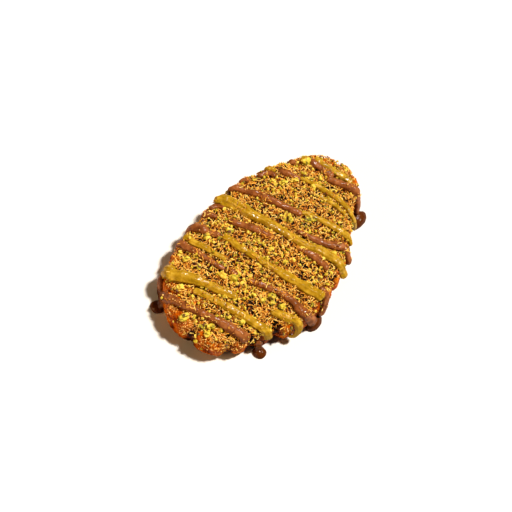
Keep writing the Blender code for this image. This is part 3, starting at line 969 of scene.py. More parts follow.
    def slab(self) -> Object:
        """The pressed dough before its pockets.

        Returns:
            A closed mesh object.
        """
        plan = smooth_path(self.layout.knots, self.fine_span, closed=True)
        inward = -self.layout.outward(*plan.T)
        spread = self.layout.spread(plan[:, 1])
        parting = self.parting(plan)
        middle, width = self.web_level
        rings = []
        for share, inset in self.section:
            times = spread ** max(2 * share - 1, 0)
            web = 1 - self.web_share * math.exp(-(((share - middle) / width) ** 2))
            ring = plan + inward * (inset * times + parting * web)[:, None]
            rings.append(np.column_stack((ring, self.rim_height(*ring.T) * share)))
        return new_piece("dough", np.concatenate(rings), turned(tube_faces(len(rings), len(plan))))

    def cutter(self) -> Object:
        """The studs of the iron, as one mesh of separate closed blocks.

        Returns:
            The mesh object that is cut out of the slab.
        """
        random = np.random.default_rng(self.seed)
        corners: list[tuple[float, ...]] = []
        faces: Faces = []
        wide, narrow = self.mouth / 2, self.floor / 2
        for column in range(-self.columns, self.columns):
            for row in range(-self.rows, self.rows):
                centre = (np.array((column, row)) + 0.5) * self.pitch
                depth = float(self.layout.depth(*centre))
                if depth < self.pocket_margin:
                    continue
                centre = centre + random.uniform(-self.unevenness, self.unevenness, 2)
                top = float(self.rim_height(*centre)) + self.overshoot
                studs = [((wide, -self.overshoot), (narrow, self.web[0]))]
                if depth < self.band and not self.left_iron(*centre):
                    studs.append(((narrow, self.web[1]), (wide, top)))
                for stud in studs:
                    faces += tube_faces(2, 4, len(corners))
                    for half, level in stud:
                        for i, j in ((-1, -1), (1, -1), (1, 1), (-1, 1)):
                            corners.append((centre[0] + half * i, centre[1] + half * j, level))
        return new_piece("cutter", np.array(corners), faces)

    def build(self) -> Object:
        """Press, bake and roughen the dough.

        Returns:
            The pastry piece, with its attribute for how dark it is: baked colour and painted shade.
        """
        pastry = self.slab()
        cutter = self.cutter()
        cut = pastry.modifiers.new("press", "BOOLEAN")
        cut.operation = "DIFFERENCE"
        cut.object = cutter
        cut.solver = "EXACT"
        bake_modifiers(pastry)
        discard(cutter)
        remesh(pastry, self.voxel, self.smoothing)
        pastry.name = "pastry"
        mesh = pastry.data
        points = to_layout(mesh)
        normals = vertex_normals(mesh)
        torn = self.left_iron(*points.T[:2])
        grains = np.maximum(rough_noise(points, 1.9, 12, 2), 0)
        lift = relief(points, self.puffs) + relief(np.array(self.flake) * points, self.flakes)
        lift += (self.grit[0] + self.grit[1] * torn) * grains
        flat, free = self.pressed
        lift *= flat + (1 - flat) * ramp(points[:, 2], 0.0, free)
        points = points + normals * lift[:, None]
        points[:, 2] = np.maximum(points[:, 2], LAYOUT_SHIFT[2])
        set_vertices(mesh, points)
        set_attributes(mesh, toast=self.toast(points, normals))
        mesh.shade_smooth()
        return pastry

    def toast(self, points: Array, normals: Array) -> Array:
        """How dark the crust is: baked colour, with painted shade in pockets and notches.

        Args:
            points: Vertices in millimetres.
            normals: Outward directions at them.

        Returns:
            0 for golden to 1 for burnt or deep in painted shade, one number for each vertex.
        """
        lobe, recess_shade, side, notch, chance = self.baking_and_shade
        start, full, under = self.recess_shade
        # Painted shade: pockets well inside the rim and low under the top, and the notches of the
        # rim, are made darker. Faces that turn sideways and down are a little darker too.
        deep = ramp(self.layout.depth(*points.T[:2]), start, full)
        total = lobe + recess_shade * (deep * (points[:, 2] < self.rim_height(0, 0) - under))
        total = total + ramp(-normals[:, 2], -0.5, 0.3) * side
        total = total + relief(points, ((chance, 9.0, 21, 3),)) + notch * self.gap(points)
        for x, y, reach, change in self.patches:
            gap = np.linalg.norm(points[:, :2] - (x, y), axis=1)
            total += change * ramp(-gap, -reach, -0.4 * reach)
        return np.clip(total, 0, 1)


# ------ the bed


@dataclass
class Bed:
    """The matted bed of filo and nuts that fills the top of the dough.

    Attributes:
        layout: Plan and height.
        dough: The dough, whose notches the bed leaves open.
        margin: How far inside the outline its edge lies.
        below_crown: How far its surface lies under the tops of the threads.
        rings: Rows of faces from the middle to the edge.
        segments: Faces around each row.
        bottom: Level of its hidden underside.
        lumps: Its unevenness.
        spacing: Below 1, the rings lie closer together towards the edge.
        search: How far from the middle and in how many steps the edge is looked for.
        hollows: How much deeper it lies in a notch and where the crust shows.
    """

    layout: Layout
    dough: Dough
    margin: float = 2.4
    below_crown: float = 1.5
    rings: int = 64
    segments: int = 260
    bottom: float = 12.0
    lumps: Layers = ((0.55, 5.0, 31, 2), (0.35, 2.1, 33, 2))
    spacing: float = 0.9
    search: tuple[float, int] = (84.0, 840)
    hollows: Pair = (7.0, 3.5)

    def surface(self) -> tuple[Array, Faces]:
        """An open, lumpy sheet over the croffle: a middle point, then rings out to the edge.

        Returns:
            Its points and faces.
        """
        count = self.segments
        angles = np.linspace(0, 2 * np.pi, count, endpoint=False)
        directions = np.column_stack((np.cos(angles), np.sin(angles)))
        steps = np.linspace(0, self.search[0], self.search[1] + 1)
        spots = directions[:, None, :] * steps[None, :, None]
        inside = self.layout.depth(spots[..., 0], spots[..., 1]) > self.margin
        edge = steps[inside.cumsum(axis=1).argmax(axis=1)]
        shares = [(ring / self.rings) ** self.spacing for ring in range(1, self.rings + 1)]
        rings = [directions * (edge * share)[:, None] for share in shares]
        plan = np.concatenate([np.zeros((1, 2)), *rings])
        level = np.column_stack((plan, self.layout.crown(*plan.T)))
        height = level[:, 2] - self.below_crown + relief(level, self.lumps)
        faces = [(0, 1 + side, 1 + (side + 1) % count) for side in range(count)]
        for low in range(1, 1 + (self.rings - 1) * count, count):
            for side in range(count):
                after = (side + 1) % count
                faces.append((low + side, low + count + side, low + count + after, low + after))
        return np.column_stack((plan, height)), faces

    def build(self) -> Object:
        """Heap the bed.

        Returns:
            The bed piece.
        """
        points, faces = self.surface()
        notch, bare = self.hollows
        points[:, 2] -= notch * self.dough.gap(points) + bare * self.dough.bare(points)
        points[:, 2] = np.maximum(points[:, 2], self.bottom + 1.0)
        floor = points[-self.segments :].copy()
        floor[:, 2] = self.bottom
        first = len(points)
        edge = first - self.segments
        for side in range(self.segments):
            after = (side + 1) % self.segments
            faces.append((edge + side, first + side, first + after, edge + after))
        faces.append(tuple(range(first + self.segments - 1, first - 1, -1)))
        bed = new_piece("filo_bed", np.concatenate((points, floor)), faces)
        bed.data.shade_smooth()
        return bed


# ------ the sauces


@dataclass(frozen=True)
class Stripe:
    """One stripe of sauce.

    Attributes:
        widths: Its widths at the start, the middle and the end.
        knots: Places that it passes; a third number is a level, without one it lies on the bed.
    """

    widths: Triple
    knots: Knots


@dataclass(frozen=True)
class Pool:
    """A drip that stands on the table against the rim.

    Attributes:
        across: Place of its middle across the croffle.
        along: Its place along the croffle.
        reach_across: Half its width.
        reach_along: Half its length.
        height: Its height.
    """

    across: float
    along: float
    reach_across: float
    reach_along: float
    height: float


@dataclass
class Pour:
    """All stripes and pools of one sauce.

    Attributes:
        name: Name of the piece.
        layout: Plan and height.
        stripes: The stripes.
        pools: The pools.
        seed: Picks the unevenness.
        sink: How far the middle of a section lies above the dressed surface, in widths.
        swell: How much wider the sauce has spread than it was piped.
        strands: Depth of the ridges that the piping leaves along a stripe.
        ridges: Number of those ridges around a section.
        flatness: Height of a section as a share of its width.
        blunt: Length of a stripe's rounded end as a share of its width.
        tip: Least share of that length, which keeps the end from closing to a point.
        wander: How far a stripe strays across, along and up.
        lump: How much its width varies, as a share.
        stray: Length of a stray or a lump.
        drape: Points of the middle line from one knot to the next.
        ring_step: Distance between the rings of a stripe.
        sides: Vertices in a ring.
        pool_rings: Rings of a pool.
        pool_sides: Vertices in each of them.
        voxel: Size of a quad of the skin.
        smoothing: Rounds of smoothing of the skin.
        waves: Height and width of the long and the short waves of the skin.
        pooled_and_shaded: Levels under which the sauce turns to the colour of a pool, which is
            partly thick
        sauce and partly painted shade.
    """

    name: str
    layout: Layout
    stripes: tuple[Stripe, ...]
    pools: tuple[Pool, ...]
    seed: int
    sink: float = 0.12
    swell: float = 1.07
    strands: float = 0.0
    ridges: int = 7
    flatness: float = 0.64
    blunt: float = 0.42
    tip: float = 0.06
    wander: Triple = (0.25, 0.45, 0.3)
    lump: float = 0.272
    stray: float = 7.0
    drape: int = 16
    ring_step: float = 0.7
    sides: int = 18
    pool_rings: int = 10
    pool_sides: int = 36
    voxel: float = 0.42
    smoothing: int = 3
    waves: tuple[Pair, Pair] = ((0.3, 3.0), (0.16, 1.2))
    pooled_and_shaded: Pair = (9.0, 4.0)

    def centre_line(self, stripe: Stripe, index: int) -> Array:
        """The middle of a stripe, draped over the dressed surface.

        Args:
            stripe: The stripe.
            index: Its number, which picks its unevenness.

        Returns:
            Points in millimetres.
        """
        above = sum(stripe.widths) / 3 * self.sink
        crown = self.layout.crown
        full = [k if len(k) > 2 else (*k, float(crown(*k)) + above) for k in stripe.knots]
        path = smooth_path(tuple(full), self.drape)
        path[:, 2] = np.maximum(path[:, 2], crown(*path.T[:2]) + above)
        path = evenly_spaced(path, self.ring_step)
        for axis, size in enumerate(self.wander):
            path[:, axis] += relief(path, ((size, self.stray, self.seed + 7 * index + axis, 2),))
        return path

    def sweep(self, stripe: Stripe, index: int) -> Array:
        """The skin of one stripe.

        Args:
            stripe: The stripe.
            index: Its number.

        Returns:
            Its vertices, ring by ring.
        """
        path = self.centre_line(stripe, index)
        run = run_along(path)
        width = np.interp(np.linspace(0, 1, len(path)), (0.0, 0.5, 1.0), stripe.widths) * self.swell
        blunt = np.minimum(run, run[-1] - run) / (width * self.blunt)
        width = width * np.sqrt(1 - (1 - np.clip(blunt, self.tip, 1)) ** 2)
        width = width * (1 + relief(path, ((self.lump, self.stray, self.seed + index, 3),)))
        tangent = np.gradient(path, axis=0)
        tangent /= np.linalg.norm(tangent, axis=1)[:, None]
        side = np.cross(tangent, self.layout.normal(*path.T[:2]))
        side /= np.linalg.norm(side, axis=1)[:, None]
        up = np.cross(side, tangent)
        angle = 2 * np.pi * np.arange(self.sides) / self.sides
        ridges = 1 + self.strands * np.cos(angle * self.ridges + index)
        level = (np.cos(angle) * ridges)[None, :, None]
        rise = (np.sin(angle) * ridges * self.flatness)[None, :, None]
        ring = side[:, None, :] * level + up[:, None, :] * rise
        return (path[:, None, :] + ring * (width[:, None, None] / 2)).reshape(-1, 3)

    def dome(self, pool: Pool) -> Array:
        """The skin of one pool.

        Args:
            pool: The pool.

        Returns:
            Its vertices, ring by ring.
        """
        rings = []
        turn = 2 * np.pi * np.arange(self.pool_sides) / self.pool_sides
        for level in range(self.pool_rings):
            angle = 0.5 * math.pi * level / (self.pool_rings - 0.9)
            reach = math.cos(angle) ** 0.8
            x = pool.across + pool.reach_across * reach * np.cos(turn)
            y = pool.along + pool.reach_along * reach * np.sin(turn)
            rings.append(np.column_stack((x, y, np.full(len(x), pool.height * math.sin(angle)))))
        return np.concatenate(rings)

    def build(self) -> Object:
        """Pour the sauce.

        Returns:
            The sauce piece.
        """
        skins = [self.sweep(stripe, index) for index, stripe in enumerate(self.stripes)]
        skins += [self.dome(pool) for pool in self.pools]
        faces: Faces = []
        count = 0
        for index, skin in enumerate(skins):
            if index < len(self.stripes):
                faces += turned(tube_faces(len(skin) // self.sides, self.sides, count))
            else:
                faces += tube_faces(self.pool_rings, self.pool_sides, count)
            count += len(skin)
        together = np.concatenate(skins)
        together[:, 2] = np.maximum(together[:, 2], 0.0)
        sauce = new_piece(self.name, together, faces)
        remesh(sauce, self.voxel, self.smoothing)
        mesh = sauce.data
        skin = to_layout(mesh)
        long, short = self.waves
        lift = relief(skin, ((*long, self.seed + 90, 2), (*short, self.seed + 95, 2)))
        skin = skin + vertex_normals(mesh) * lift[:, None]
        skin[:, 2] = np.maximum(skin[:, 2], LAYOUT_SHIFT[2])
        set_vertices(mesh, skin)
        # The attribute pool darkens the sauce towards the table: partly thick sauce, partly painted
        # shade.
        start, full = self.pooled_and_shaded
        set_attributes(mesh, pool=ramp(-skin[:, 2], -start, -full))
        mesh.shade_smooth()
        return sauce


CHOCOLATE_STRIPES = (
    Stripe((4.4, 4.7, 4.0), ((-15.0, 68.5), (-11.5, 66.5), (-4.0, 65.7), (4.0, 66.2))),
    Stripe((4.0, 6.2, 7.6), ((1.5, 61.0), (10.5, 63.5), (18.5, 65.5), (23.0, 66.2), (26.0, 64.5))),
    Stripe((5.0, 4.0, 3.4), ((24.5, 64.5, 15.0), (26.2, 63.2, 11.0), (28.2, 62.2, 4.0))),
    Stripe((3.4, 3.8, 3.0), ((-26.0, 56.5), (-24.0, 58.5), (-21.5, 59.5))),
    Stripe((3.4, 3.6, 3.2), ((-35.5, 35.5), (-33.5, 39.5), (-30.0, 42.0), (-26.0, 42.0))),
    Stripe((3.4, 4.2, 3.6), ((-27.0, 47.2), (-19.5, 48.8), (-11.5, 49.8))),
    Stripe((3.4, 3.8, 3.0), ((-42.5, 24.5), (-41.0, 28.0), (-38.0, 30.0))),
    Stripe(
        (3.6, 4.4, 4.2),
        ((-44.5, 16.0), (-41.0, 19.2), (-35.5, 20.3), (-25.0, 23.7), (-15.0, 24.5), (4.0, 27.0)),
    ),
    Stripe((3.6, 3.8, 3.0), ((-46.0, -3.5), (-42.5, 1.0), (-38.0, 2.3))),
    Stripe((3.6, 3.8, 3.0), ((-46.5, -10.0), (-42.5, -7.7), (-37.5, -6.4))),
    Stripe((2.8, 4.8, 4.8), ((-30.5, -4.7), (-22.0, -2.5), (-13.0, 0.0), (0.5, 1.5))),
    Stripe(
        (2.8, 4.8, 5.4),
        ((8.5, 15.4), (18.5, 17.0), (27.5, 19.5), (35.5, 24.0), (40.0, 24.8), (45.5, 22.0, 12.0)),
    ),
    Stripe((6.0, 5.4, 4.2), ((-48.0, -22.0), (-42.0, -19.7), (-36.0, -18.7), (-28.0, -16.5))),
    Stripe(
        (6.0, 4.2, 3.0),
        ((-47.0, -33.5), (-39.7, -35.6), (-30.0, -34.8), (-20.0, -35.3), (-11.5, -34.1)),
    ),
    Stripe((4.0, 4.8, 3.6), ((-9.0, -33.0), (-6.0, -33.6), (-3.0, -34.2))),
    Stripe(
        (3.4, 4.8, 6.2),
        ((4.5, -32.0), (15.5, -29.0), (26.0, -26.7), (36.0, -27.0), (42.0, -28.2),
         (47.5, -25.5, 12.0), (48.5, -22.5, 4.0)),
    ),
    Stripe((2.8, 4.8, 4.8), ((16.0, 5.6), (25.0, 6.8), (34.5, 6.7), (38.5, 5.5))),
    Stripe((4.0, 5.2, 5.0), ((41.0, -7.5), (46.0, -8.3), (49.0, -12.0, 12.5), (49.0, -16.0, 5.0))),
    Stripe((6.4, 8.0, 5.0), ((-42.0, -57.5, 13.0), (-37.0, -63.4), (-29.5, -68.4), (-22.5, -69.2))),
    Stripe(
        (4.6, 4.0, 6.6),
        ((-25.0, -69.2), (-17.0, -69.0), (-0.5, -66.0), (15.0, -63.8), (25.5, -62.3)),
    ),
    Stripe((4.4, 4.6, 5.4), ((-30.0, -66.5, 8.0), (-32.5, -69.2, 4.0), (-34.0, -70.6, 2.0))),
    Stripe((4.2, 4.6, 4.8), ((30.6, -56.2, 8.0), (31.4, -56.8, 4.0), (32.6, -57.4, 2.0))),
)  # fmt: skip
CREAM_STRIPES = (
    Stripe((3.8, 4.6, 4.2), ((-14.0, 71.0), (-9.5, 70.0), (0.0, 69.2), (8.0, 69.7), (16.0, 69.7))),
    Stripe((4.4, 5.6, 4.2), ((-20.5, 62.5), (-18.5, 65.0), (-17.0, 68.5))),
    Stripe((3.8, 4.4, 3.0), ((-35.5, 42.7), (-33.0, 45.0), (-28.5, 46.2))),
    Stripe(
        (3.0, 3.8, 3.8),
        ((-12.7, 51.2), (0.0, 52.2), (12.0, 52.5), (22.5, 51.9), (28.5, 49.2),
         (32.5, 49.5, 12.0), (33.0, 52.0, 3.5)),
    ),
    Stripe((2.4, 2.8, 2.4), ((4.6, 46.6), (14.5, 47.5), (23.3, 46.7), (26.5, 44.8))),
    Stripe(
        (3.0, 4.6, 4.8),
        ((2.3, 28.8), (9.3, 30.8), (21.4, 32.7), (30.0, 33.3), (36.5, 33.6), (40.0, 32.0, 16.0)),
    ),
    Stripe(
        (6.6, 5.0, 7.0),
        ((-46.5, 3.5), (-42.0, 7.8), (-33.6, 8.3), (-22.5, 7.6), (-10.0, 9.0), (7.0, 9.5),
         (19.0, 10.6), (30.0, 13.4), (40.0, 14.2), (45.0, 13.6), (48.5, 13.0, 11.0)),
    ),
    Stripe((3.4, 3.6, 2.4), ((-42.0, 2.7), (-37.7, 5.0), (-28.7, 4.6))),
    Stripe(
        (5.0, 4.8, 3.4),
        ((-46.0, -29.0), (-38.5, -30.2), (-31.5, -29.6), (-21.0, -28.9), (-15.0, -28.9)),
    ),
    Stripe(
        (3.4, 4.8, 8.0),
        ((-26.5, -16.0), (-20.0, -15.2), (-14.0, -16.6), (1.3, -16.2), (17.3, -15.5),
         (31.0, -14.0), (41.5, -12.5), (46.0, -11.6)),
    ),
    Stripe(
        (7.6, 6.4, 4.2),
        ((-41.5, -55.0), (-33.4, -55.4), (-23.6, -51.8), (-10.5, -48.6), (6.0, -45.7)),
    ),
    Stripe(
        (3.4, 5.4, 5.2),
        ((-18.7, -57.0), (-4.0, -55.2), (9.7, -53.6), (22.0, -52.8), (31.5, -52.0),
         (35.0, -52.5, 13.0)),
    ),
    Stripe(
        (4.2, 5.6, 3.2),
        ((26.3, -40.0), (35.2, -37.4), (42.0, -34.8), (45.5, -36.0, 13.0), (45.0, -39.0, 8.5),
         (42.0, -41.2, 7.5)),
    ),
)  # fmt: skip
CHOCOLATE_POOLS = (
    Pool(-34.5, -71.0, 4.8, 4.4, 3.4),
    Pool(33.0, -57.5, 4.4, 4.2, 3.4),
    Pool(48.5, -20.5, 4.4, 6.8, 5.2),
    Pool(30.8, 60.5, 4.6, 8.2, 5.0),
)


# ------ scattered things


class Kind(Enum):
    """The shades of loose filo threads."""

    PALE = "pale"
    GOLDEN = "golden"
    TOASTED = "toasted"


@dataclass
class Scatter:
    """Base of what is strewn by Geometry Nodes over a carrier mesh.

    Attributes:
        name: Name of the piece.
        per_square_metre: How many lie on a square metre where the cover is full.
        seed: Picks the arrangement.
        cover: The carrier's attribute that says how thickly this is strewn.
        lift: How far above the carrier a thing's middle lies, lowest and highest.
        size: Smallest and largest thing in millimetres.
        size_seed: Picks the sizes.
        tilt: Largest tilt out of the surface, in radians.
        marks: Name, highest value and seed of the random numbers that each thing keeps.
    """

    name: str
    per_square_metre: float
    seed: int
    cover: str
    lift: Pair
    size: Pair
    size_seed: int
    tilt: float
    marks: tuple[tuple[str, float, int], ...] = (("tone", 1.0, 13),)

    def inputs(self) -> dict[str, float]:
        """Inputs of the tree by name, in millimetres."""
        names = ("Lowest", "Highest", "Smallest", "Largest")
        return dict(zip(names, (*self.lift, *self.size)))

    def sample(self, tree: Tree) -> tuple[Socket, bool]:
        """What is laid on each point.

        Args:
            tree: The tree.

        Returns:
            The sample, and whether each point picks one of several.
        """
        raise NotImplementedError

    def grown(self, tree: Tree, given: bpy.types.NodeOutputs, laid: Socket) -> Socket:
        """Work on the laid things, which stay as they are here.

        Args:
            tree: The tree.
            given: The tree's inputs.
            laid: The laid things.

        Returns:
            The worked things.
        """
        return laid

    def tree(self, values: dict[str, object]) -> Tree:
        """Build the scatter.

        Args:
            values: Inputs by name, whose types say what sockets they need.

        Returns:
            The node tree.
        """
        tree = bpy.data.node_groups.new(self.name + "_scatter", "GeometryNodeTree")
        kinds = {float: "Float", int: "Int", Material: "Material", Mesh: "Geometry"}
        sockets = [("Geometry", Mesh), *((name, type(value)) for name, value in values.items())]
        for name, kind in sockets:
            socket_type = "NodeSocket" + kinds[kind]
            tree.interface.new_socket(name, in_out="INPUT", socket_type=socket_type)
        tree.interface.new_socket("Geometry", in_out="OUTPUT", socket_type="NodeSocketGeometry")
        given = add_node(tree, "NodeGroupInput").outputs
        attribute, chance = "GeometryNodeInputNamedAttribute", "FunctionNodeRandomValue"
        cover = add_node(tree, attribute, {"data_type": "FLOAT", "Name": self.cover})
        links = {0: cover.outputs["Attribute"], 1: given["Density"]}
        density = add_node(tree, "ShaderNodeMath", {"operation": "MULTIPLY"}, links)
        seed = {"Seed": given["Seed"]}
        links = {"Mesh": given["Geometry"], "Density": density.outputs[0], **seed}
        points = add_node(tree, "GeometryNodeDistributePointsOnFaces", {}, links).outputs
        lean = self.tilt
        span = {0: (-lean, -lean, 0.0), 1: (lean, lean, 2 * math.pi)}
        turn = add_node(tree, chance, {"data_type": "FLOAT_VECTOR", **span}, seed)
        euler = add_node(tree, "FunctionNodeEulerToRotation", {}, {0: turn.outputs["Value"]})
        links = {"Rotation": points["Rotation"], "Rotate By": euler.outputs[0]}
        local = {"rotation_space": "LOCAL"}
        rotation = add_node(tree, "FunctionNodeRotateRotation", local, links).outputs[0]
        links = {2: given["Lowest"], 3: given["Highest"]}
        lift = add_node(tree, chance, {"data_type": "FLOAT", "Seed": 5}, links).outputs[1]
        links = {0: points["Normal"], "Scale": lift}
        push = add_node(tree, "ShaderNodeVectorMath", {"operation": "SCALE"}, links)
        links = {"Geometry": points["Points"], "Offset": push.outputs[0]}
        raised = add_node(tree, "GeometryNodeSetPosition", {}, links).outputs[0]
        links = {2: given["Smallest"], 3: given["Largest"]}
        size = add_node(tree, chance, {"data_type": "FLOAT", "Seed": self.size_seed}, links)
        sample, several = self.sample(tree)
        pick = {"Pick Instance": several}
        links = {"Points": raised, "Instance": sample, "Rotation": rotation}
        links["Scale"] = size.outputs[1]
        laid = add_node(tree, "GeometryNodeInstanceOnPoints", pick, links).outputs[0]
        for name, top, mark_seed in self.marks:
            settings = {"data_type": "FLOAT", 2: 0.0, 3: top, "Seed": mark_seed}
            number = add_node(tree, chance, settings).outputs[1]
            settings = {"data_type": "FLOAT", "domain": "INSTANCE", "Name": name}
            links = {"Geometry": laid, "Value": number}
            laid = add_node(tree, "GeometryNodeStoreNamedAttribute", settings, links).outputs[0]
        worked = self.grown(tree, given, laid)
        real = add_node(tree, "GeometryNodeRealizeInstances", {}, {0: worked}).outputs[0]
        links = {"Geometry": real, "Material": given["Material"]}
        dressed = add_node(tree, "GeometryNodeSetMaterial", {}, links)
        add_node(tree, "NodeGroupOutput", {}, {0: dressed.outputs[0]})
        return tree

    def build(self, carrier: Object, material: Material) -> Object:
        """Strew over a carrier and keep the result as a plain piece.

        Args:
            carrier: Mesh with the attribute cover.
            material: Finish of the things.

        Returns:
            The piece.
        """
        values = {"Density": float(self.per_square_metre), "Seed": self.seed}
        values |= {name: size * MM for name, size in self.inputs().items()}
        values["Material"] = material
        piece = put(self.name, carrier.data.copy())
        modifier = piece.modifiers.new("scatter", "NODES")
        modifier.node_group = self.tree(values)
        for item in modifier.node_group.interface.items_tree:
            if item.in_out == "INPUT" and item.name in values:
                modifier[item.identifier] = values[item.name]
        bake_modifiers(piece)
        return piece


@dataclass
class Threads(Scatter):
    """Loose filo threads of one shade.

    Attributes:
        thickness: Width of a thread.
        bend: How far a thread wanders from straight.
        curl: Length of a bend.
    """

    cover: str = "cover"
    lift: Pair = (-0.5, 1.0)
    size: Pair = (1.4, 3.4)
    size_seed: int = 9
    tilt: float = 0.55
    marks: tuple[tuple[str, float, int], ...] = (("tone", 1.0, 13), ("wander", 500.0, 17))
    thickness: float = 0.57
    bend: float = 1.1
    curl: float = 1.5625

    def inputs(self) -> dict[str, float]:
        """Inputs of the tree by name, in millimetres."""
        return {**super().inputs(), "Radius": self.thickness / 2, "Bend": self.bend * 2}

    def sample(self, tree: Tree) -> tuple[Socket, bool]:
        """A straight line of four points, one long.

        Args:
            tree: The tree.

        Returns:
            The line, and that it is the only one.
        """
        ends = {"Start": (-0.5, 0, 0), "End": (0.5, 0, 0)}
        line = add_node(tree, "GeometryNodeCurvePrimitiveLine", ends).outputs["Curve"]
        beads = add_node(tree, "GeometryNodeResampleCurve", {"Count": 4}, {"Curve": line})
        return beads.outputs[0], False

    def grown(self, tree: Tree, given: bpy.types.NodeOutputs, laid: Socket) -> Socket:
        """Curl the lines and give them a skin of three sides.

        Args:
            tree: The tree.
            given: The tree's inputs.
            laid: The laid lines.

        Returns:
            The threads.
        """
        vector, own_name = "ShaderNodeVectorMath", {"data_type": "FLOAT", "Name": "wander"}
        real = add_node(tree, "GeometryNodeRealizeInstances", {}, {0: laid}).outputs[0]
        place = add_node(tree, "GeometryNodeInputPosition").outputs[0]
        own = add_node(tree, "GeometryNodeInputNamedAttribute", own_name).outputs["Attribute"]
        # Each thread reads a field of its own, so neighbours bend in different ways.
        settings = {"noise_dimensions": "4D", "Scale": 1 / (self.curl * MM), "Detail": 1.0}
        curl = add_node(tree, "ShaderNodeTexNoise", settings, {"Vector": place, "W": own})
        settings = {"operation": "SUBTRACT", 1: (0.5, 0.5, 0.5)}
        centred = add_node(tree, vector, settings, {0: curl.outputs["Color"]}).outputs[0]
        links = {0: centred, "Scale": given["Bend"]}
        sway = add_node(tree, vector, {"operation": "SCALE"}, links).outputs[0]
        links = {"Geometry": real, "Offset": sway}
        curled = add_node(tree, "GeometryNodeSetPosition", {}, links).outputs[0]
        circle, links = "GeometryNodeCurvePrimitiveCircle", {"Radius": given["Radius"]}
        profile = add_node(tree, circle, {"Resolution": 3}, links).outputs["Curve"]
        links = {"Curve": curled, "Profile Curve": profile}
        skin = add_node(tree, "GeometryNodeCurveToMesh", {"Fill Caps": True}, links)
        return add_node(tree, "GeometryNodeSetShadeSmooth", {}, {0: skin.outputs[0]}).outputs[0]


@dataclass
class Bits(Scatter):
    """Small, angular bits of one stuff: chopped nut or crumb.

    Attributes:
        detail: Rounds of subdivision of a shape.
        shapes: Number of different shapes to pick from.
    """

    size_seed: int = 5
    tilt: float = 3.1
    detail: int = 2
    shapes: int = 5

    def sample(self, tree: Tree) -> tuple[Socket, bool]:
        """The different shapes.

        Args:
            tree: The tree.

        Returns:
            The shapes, and that each point picks one.
        """
        samples = bpy.data.collections[self.name + "_shapes"]
        settings = {"Collection": samples, "Separate Children": True, "Reset Children": True}
        return add_node(tree, "GeometryNodeCollectionInfo", settings).outputs[0], True

    def build(self, carrier: Object, material: Material) -> Object:
        """Chop the shapes and strew the bits.

        Args:
            carrier: Mesh with the attribute cover.
            material: Their finish.

        Returns:
            The piece.
        """
        samples = bpy.data.collections.new(self.name + "_shapes")
        for index in range(self.shapes):
            points, faces = chopped(self.detail, self.seed + index)
            mesh = bpy.data.meshes.new(f"{self.name}_{index}")
            mesh.from_pydata(points.tolist(), [], faces)
            samples.objects.link(bpy.data.objects.new(mesh.name, mesh))
        piece = super().build(carrier, material)
        for sample in list(samples.objects):
            discard(sample)
        bpy.data.collections.remove(samples)
        return piece


def ball(detail: int) -> tuple[Array, Faces]:
    """A ball of triangles, one millimetre across.

    Args:
        detail: Rounds of subdivision of an icosahedron.

    Returns:
        Its points and faces.
    """
    gold = (1 + 5**0.5) / 2
    points = [
        (-1, gold, 0), (1, gold, 0), (-1, -gold, 0), (1, -gold, 0), (0, -1, gold), (0, 1, gold),
        (0, -1, -gold), (0, 1, -gold), (gold, 0, -1), (gold, 0, 1), (-gold, 0, -1), (-gold, 0, 1),
    ]  # fmt: skip
    faces = [
        (0, 11, 5), (0, 5, 1), (0, 1, 7), (0, 7, 10), (0, 10, 11), (1, 5, 9), (5, 11, 4),
        (11, 10, 2), (10, 7, 6), (7, 1, 8), (3, 9, 4), (3, 4, 2), (3, 2, 6), (3, 6, 8),
        (3, 8, 9), (4, 9, 5), (2, 4, 11), (6, 2, 10), (8, 6, 7), (9, 8, 1),
    ]  # fmt: skip
    rows = [np.array(point, float) / np.linalg.norm(point) for point in points]
    for _ in range(detail - 1):
        middles: dict[tuple[int, int], int] = {}
        finer = []
        for face in faces:
            between = []
            for a, b in zip(face, face[1:] + face[:1]):
                key = (min(a, b), max(a, b))
                if key not in middles:
                    middle = rows[a] + rows[b]
                    middles[key] = len(rows)
                    rows.append(middle / np.linalg.norm(middle))
                between.append(middles[key])
            a, b, c = face
            ab, bc, ca = between
            finer += [(a, ab, ca), (b, bc, ab), (c, ca, bc), (ab, bc, ca)]
        faces = finer
    return np.array(rows) / 2, faces


def chopped(detail: int, seed: int) -> tuple[Array, Faces]:
    """An irregular chopped bit, about one across: a ball with flat cuts and a nubbly skin.

    Args:
        detail: Rounds of subdivision.
        seed: Picks the shape.

    Returns:
        Its points and faces.
    """
    points, faces = ball(detail)
    random = np.random.default_rng(seed)
    points = points * random.uniform(0.7, 1.15, 3)
    for _ in range(6):
        cut = random.normal(size=3)
        cut /= np.linalg.norm(cut)
        beyond = points @ cut - random.uniform(0.22, 0.36)
        points = points - np.maximum(beyond, 0)[:, None] * cut
    nubs = 0.26 * lattice_noise(points + seed, 0.3, seed)
    nubs += 0.12 * lattice_noise(points + seed, 0.13, seed + 1)
    return points * (1 + nubs[:, None]), faces


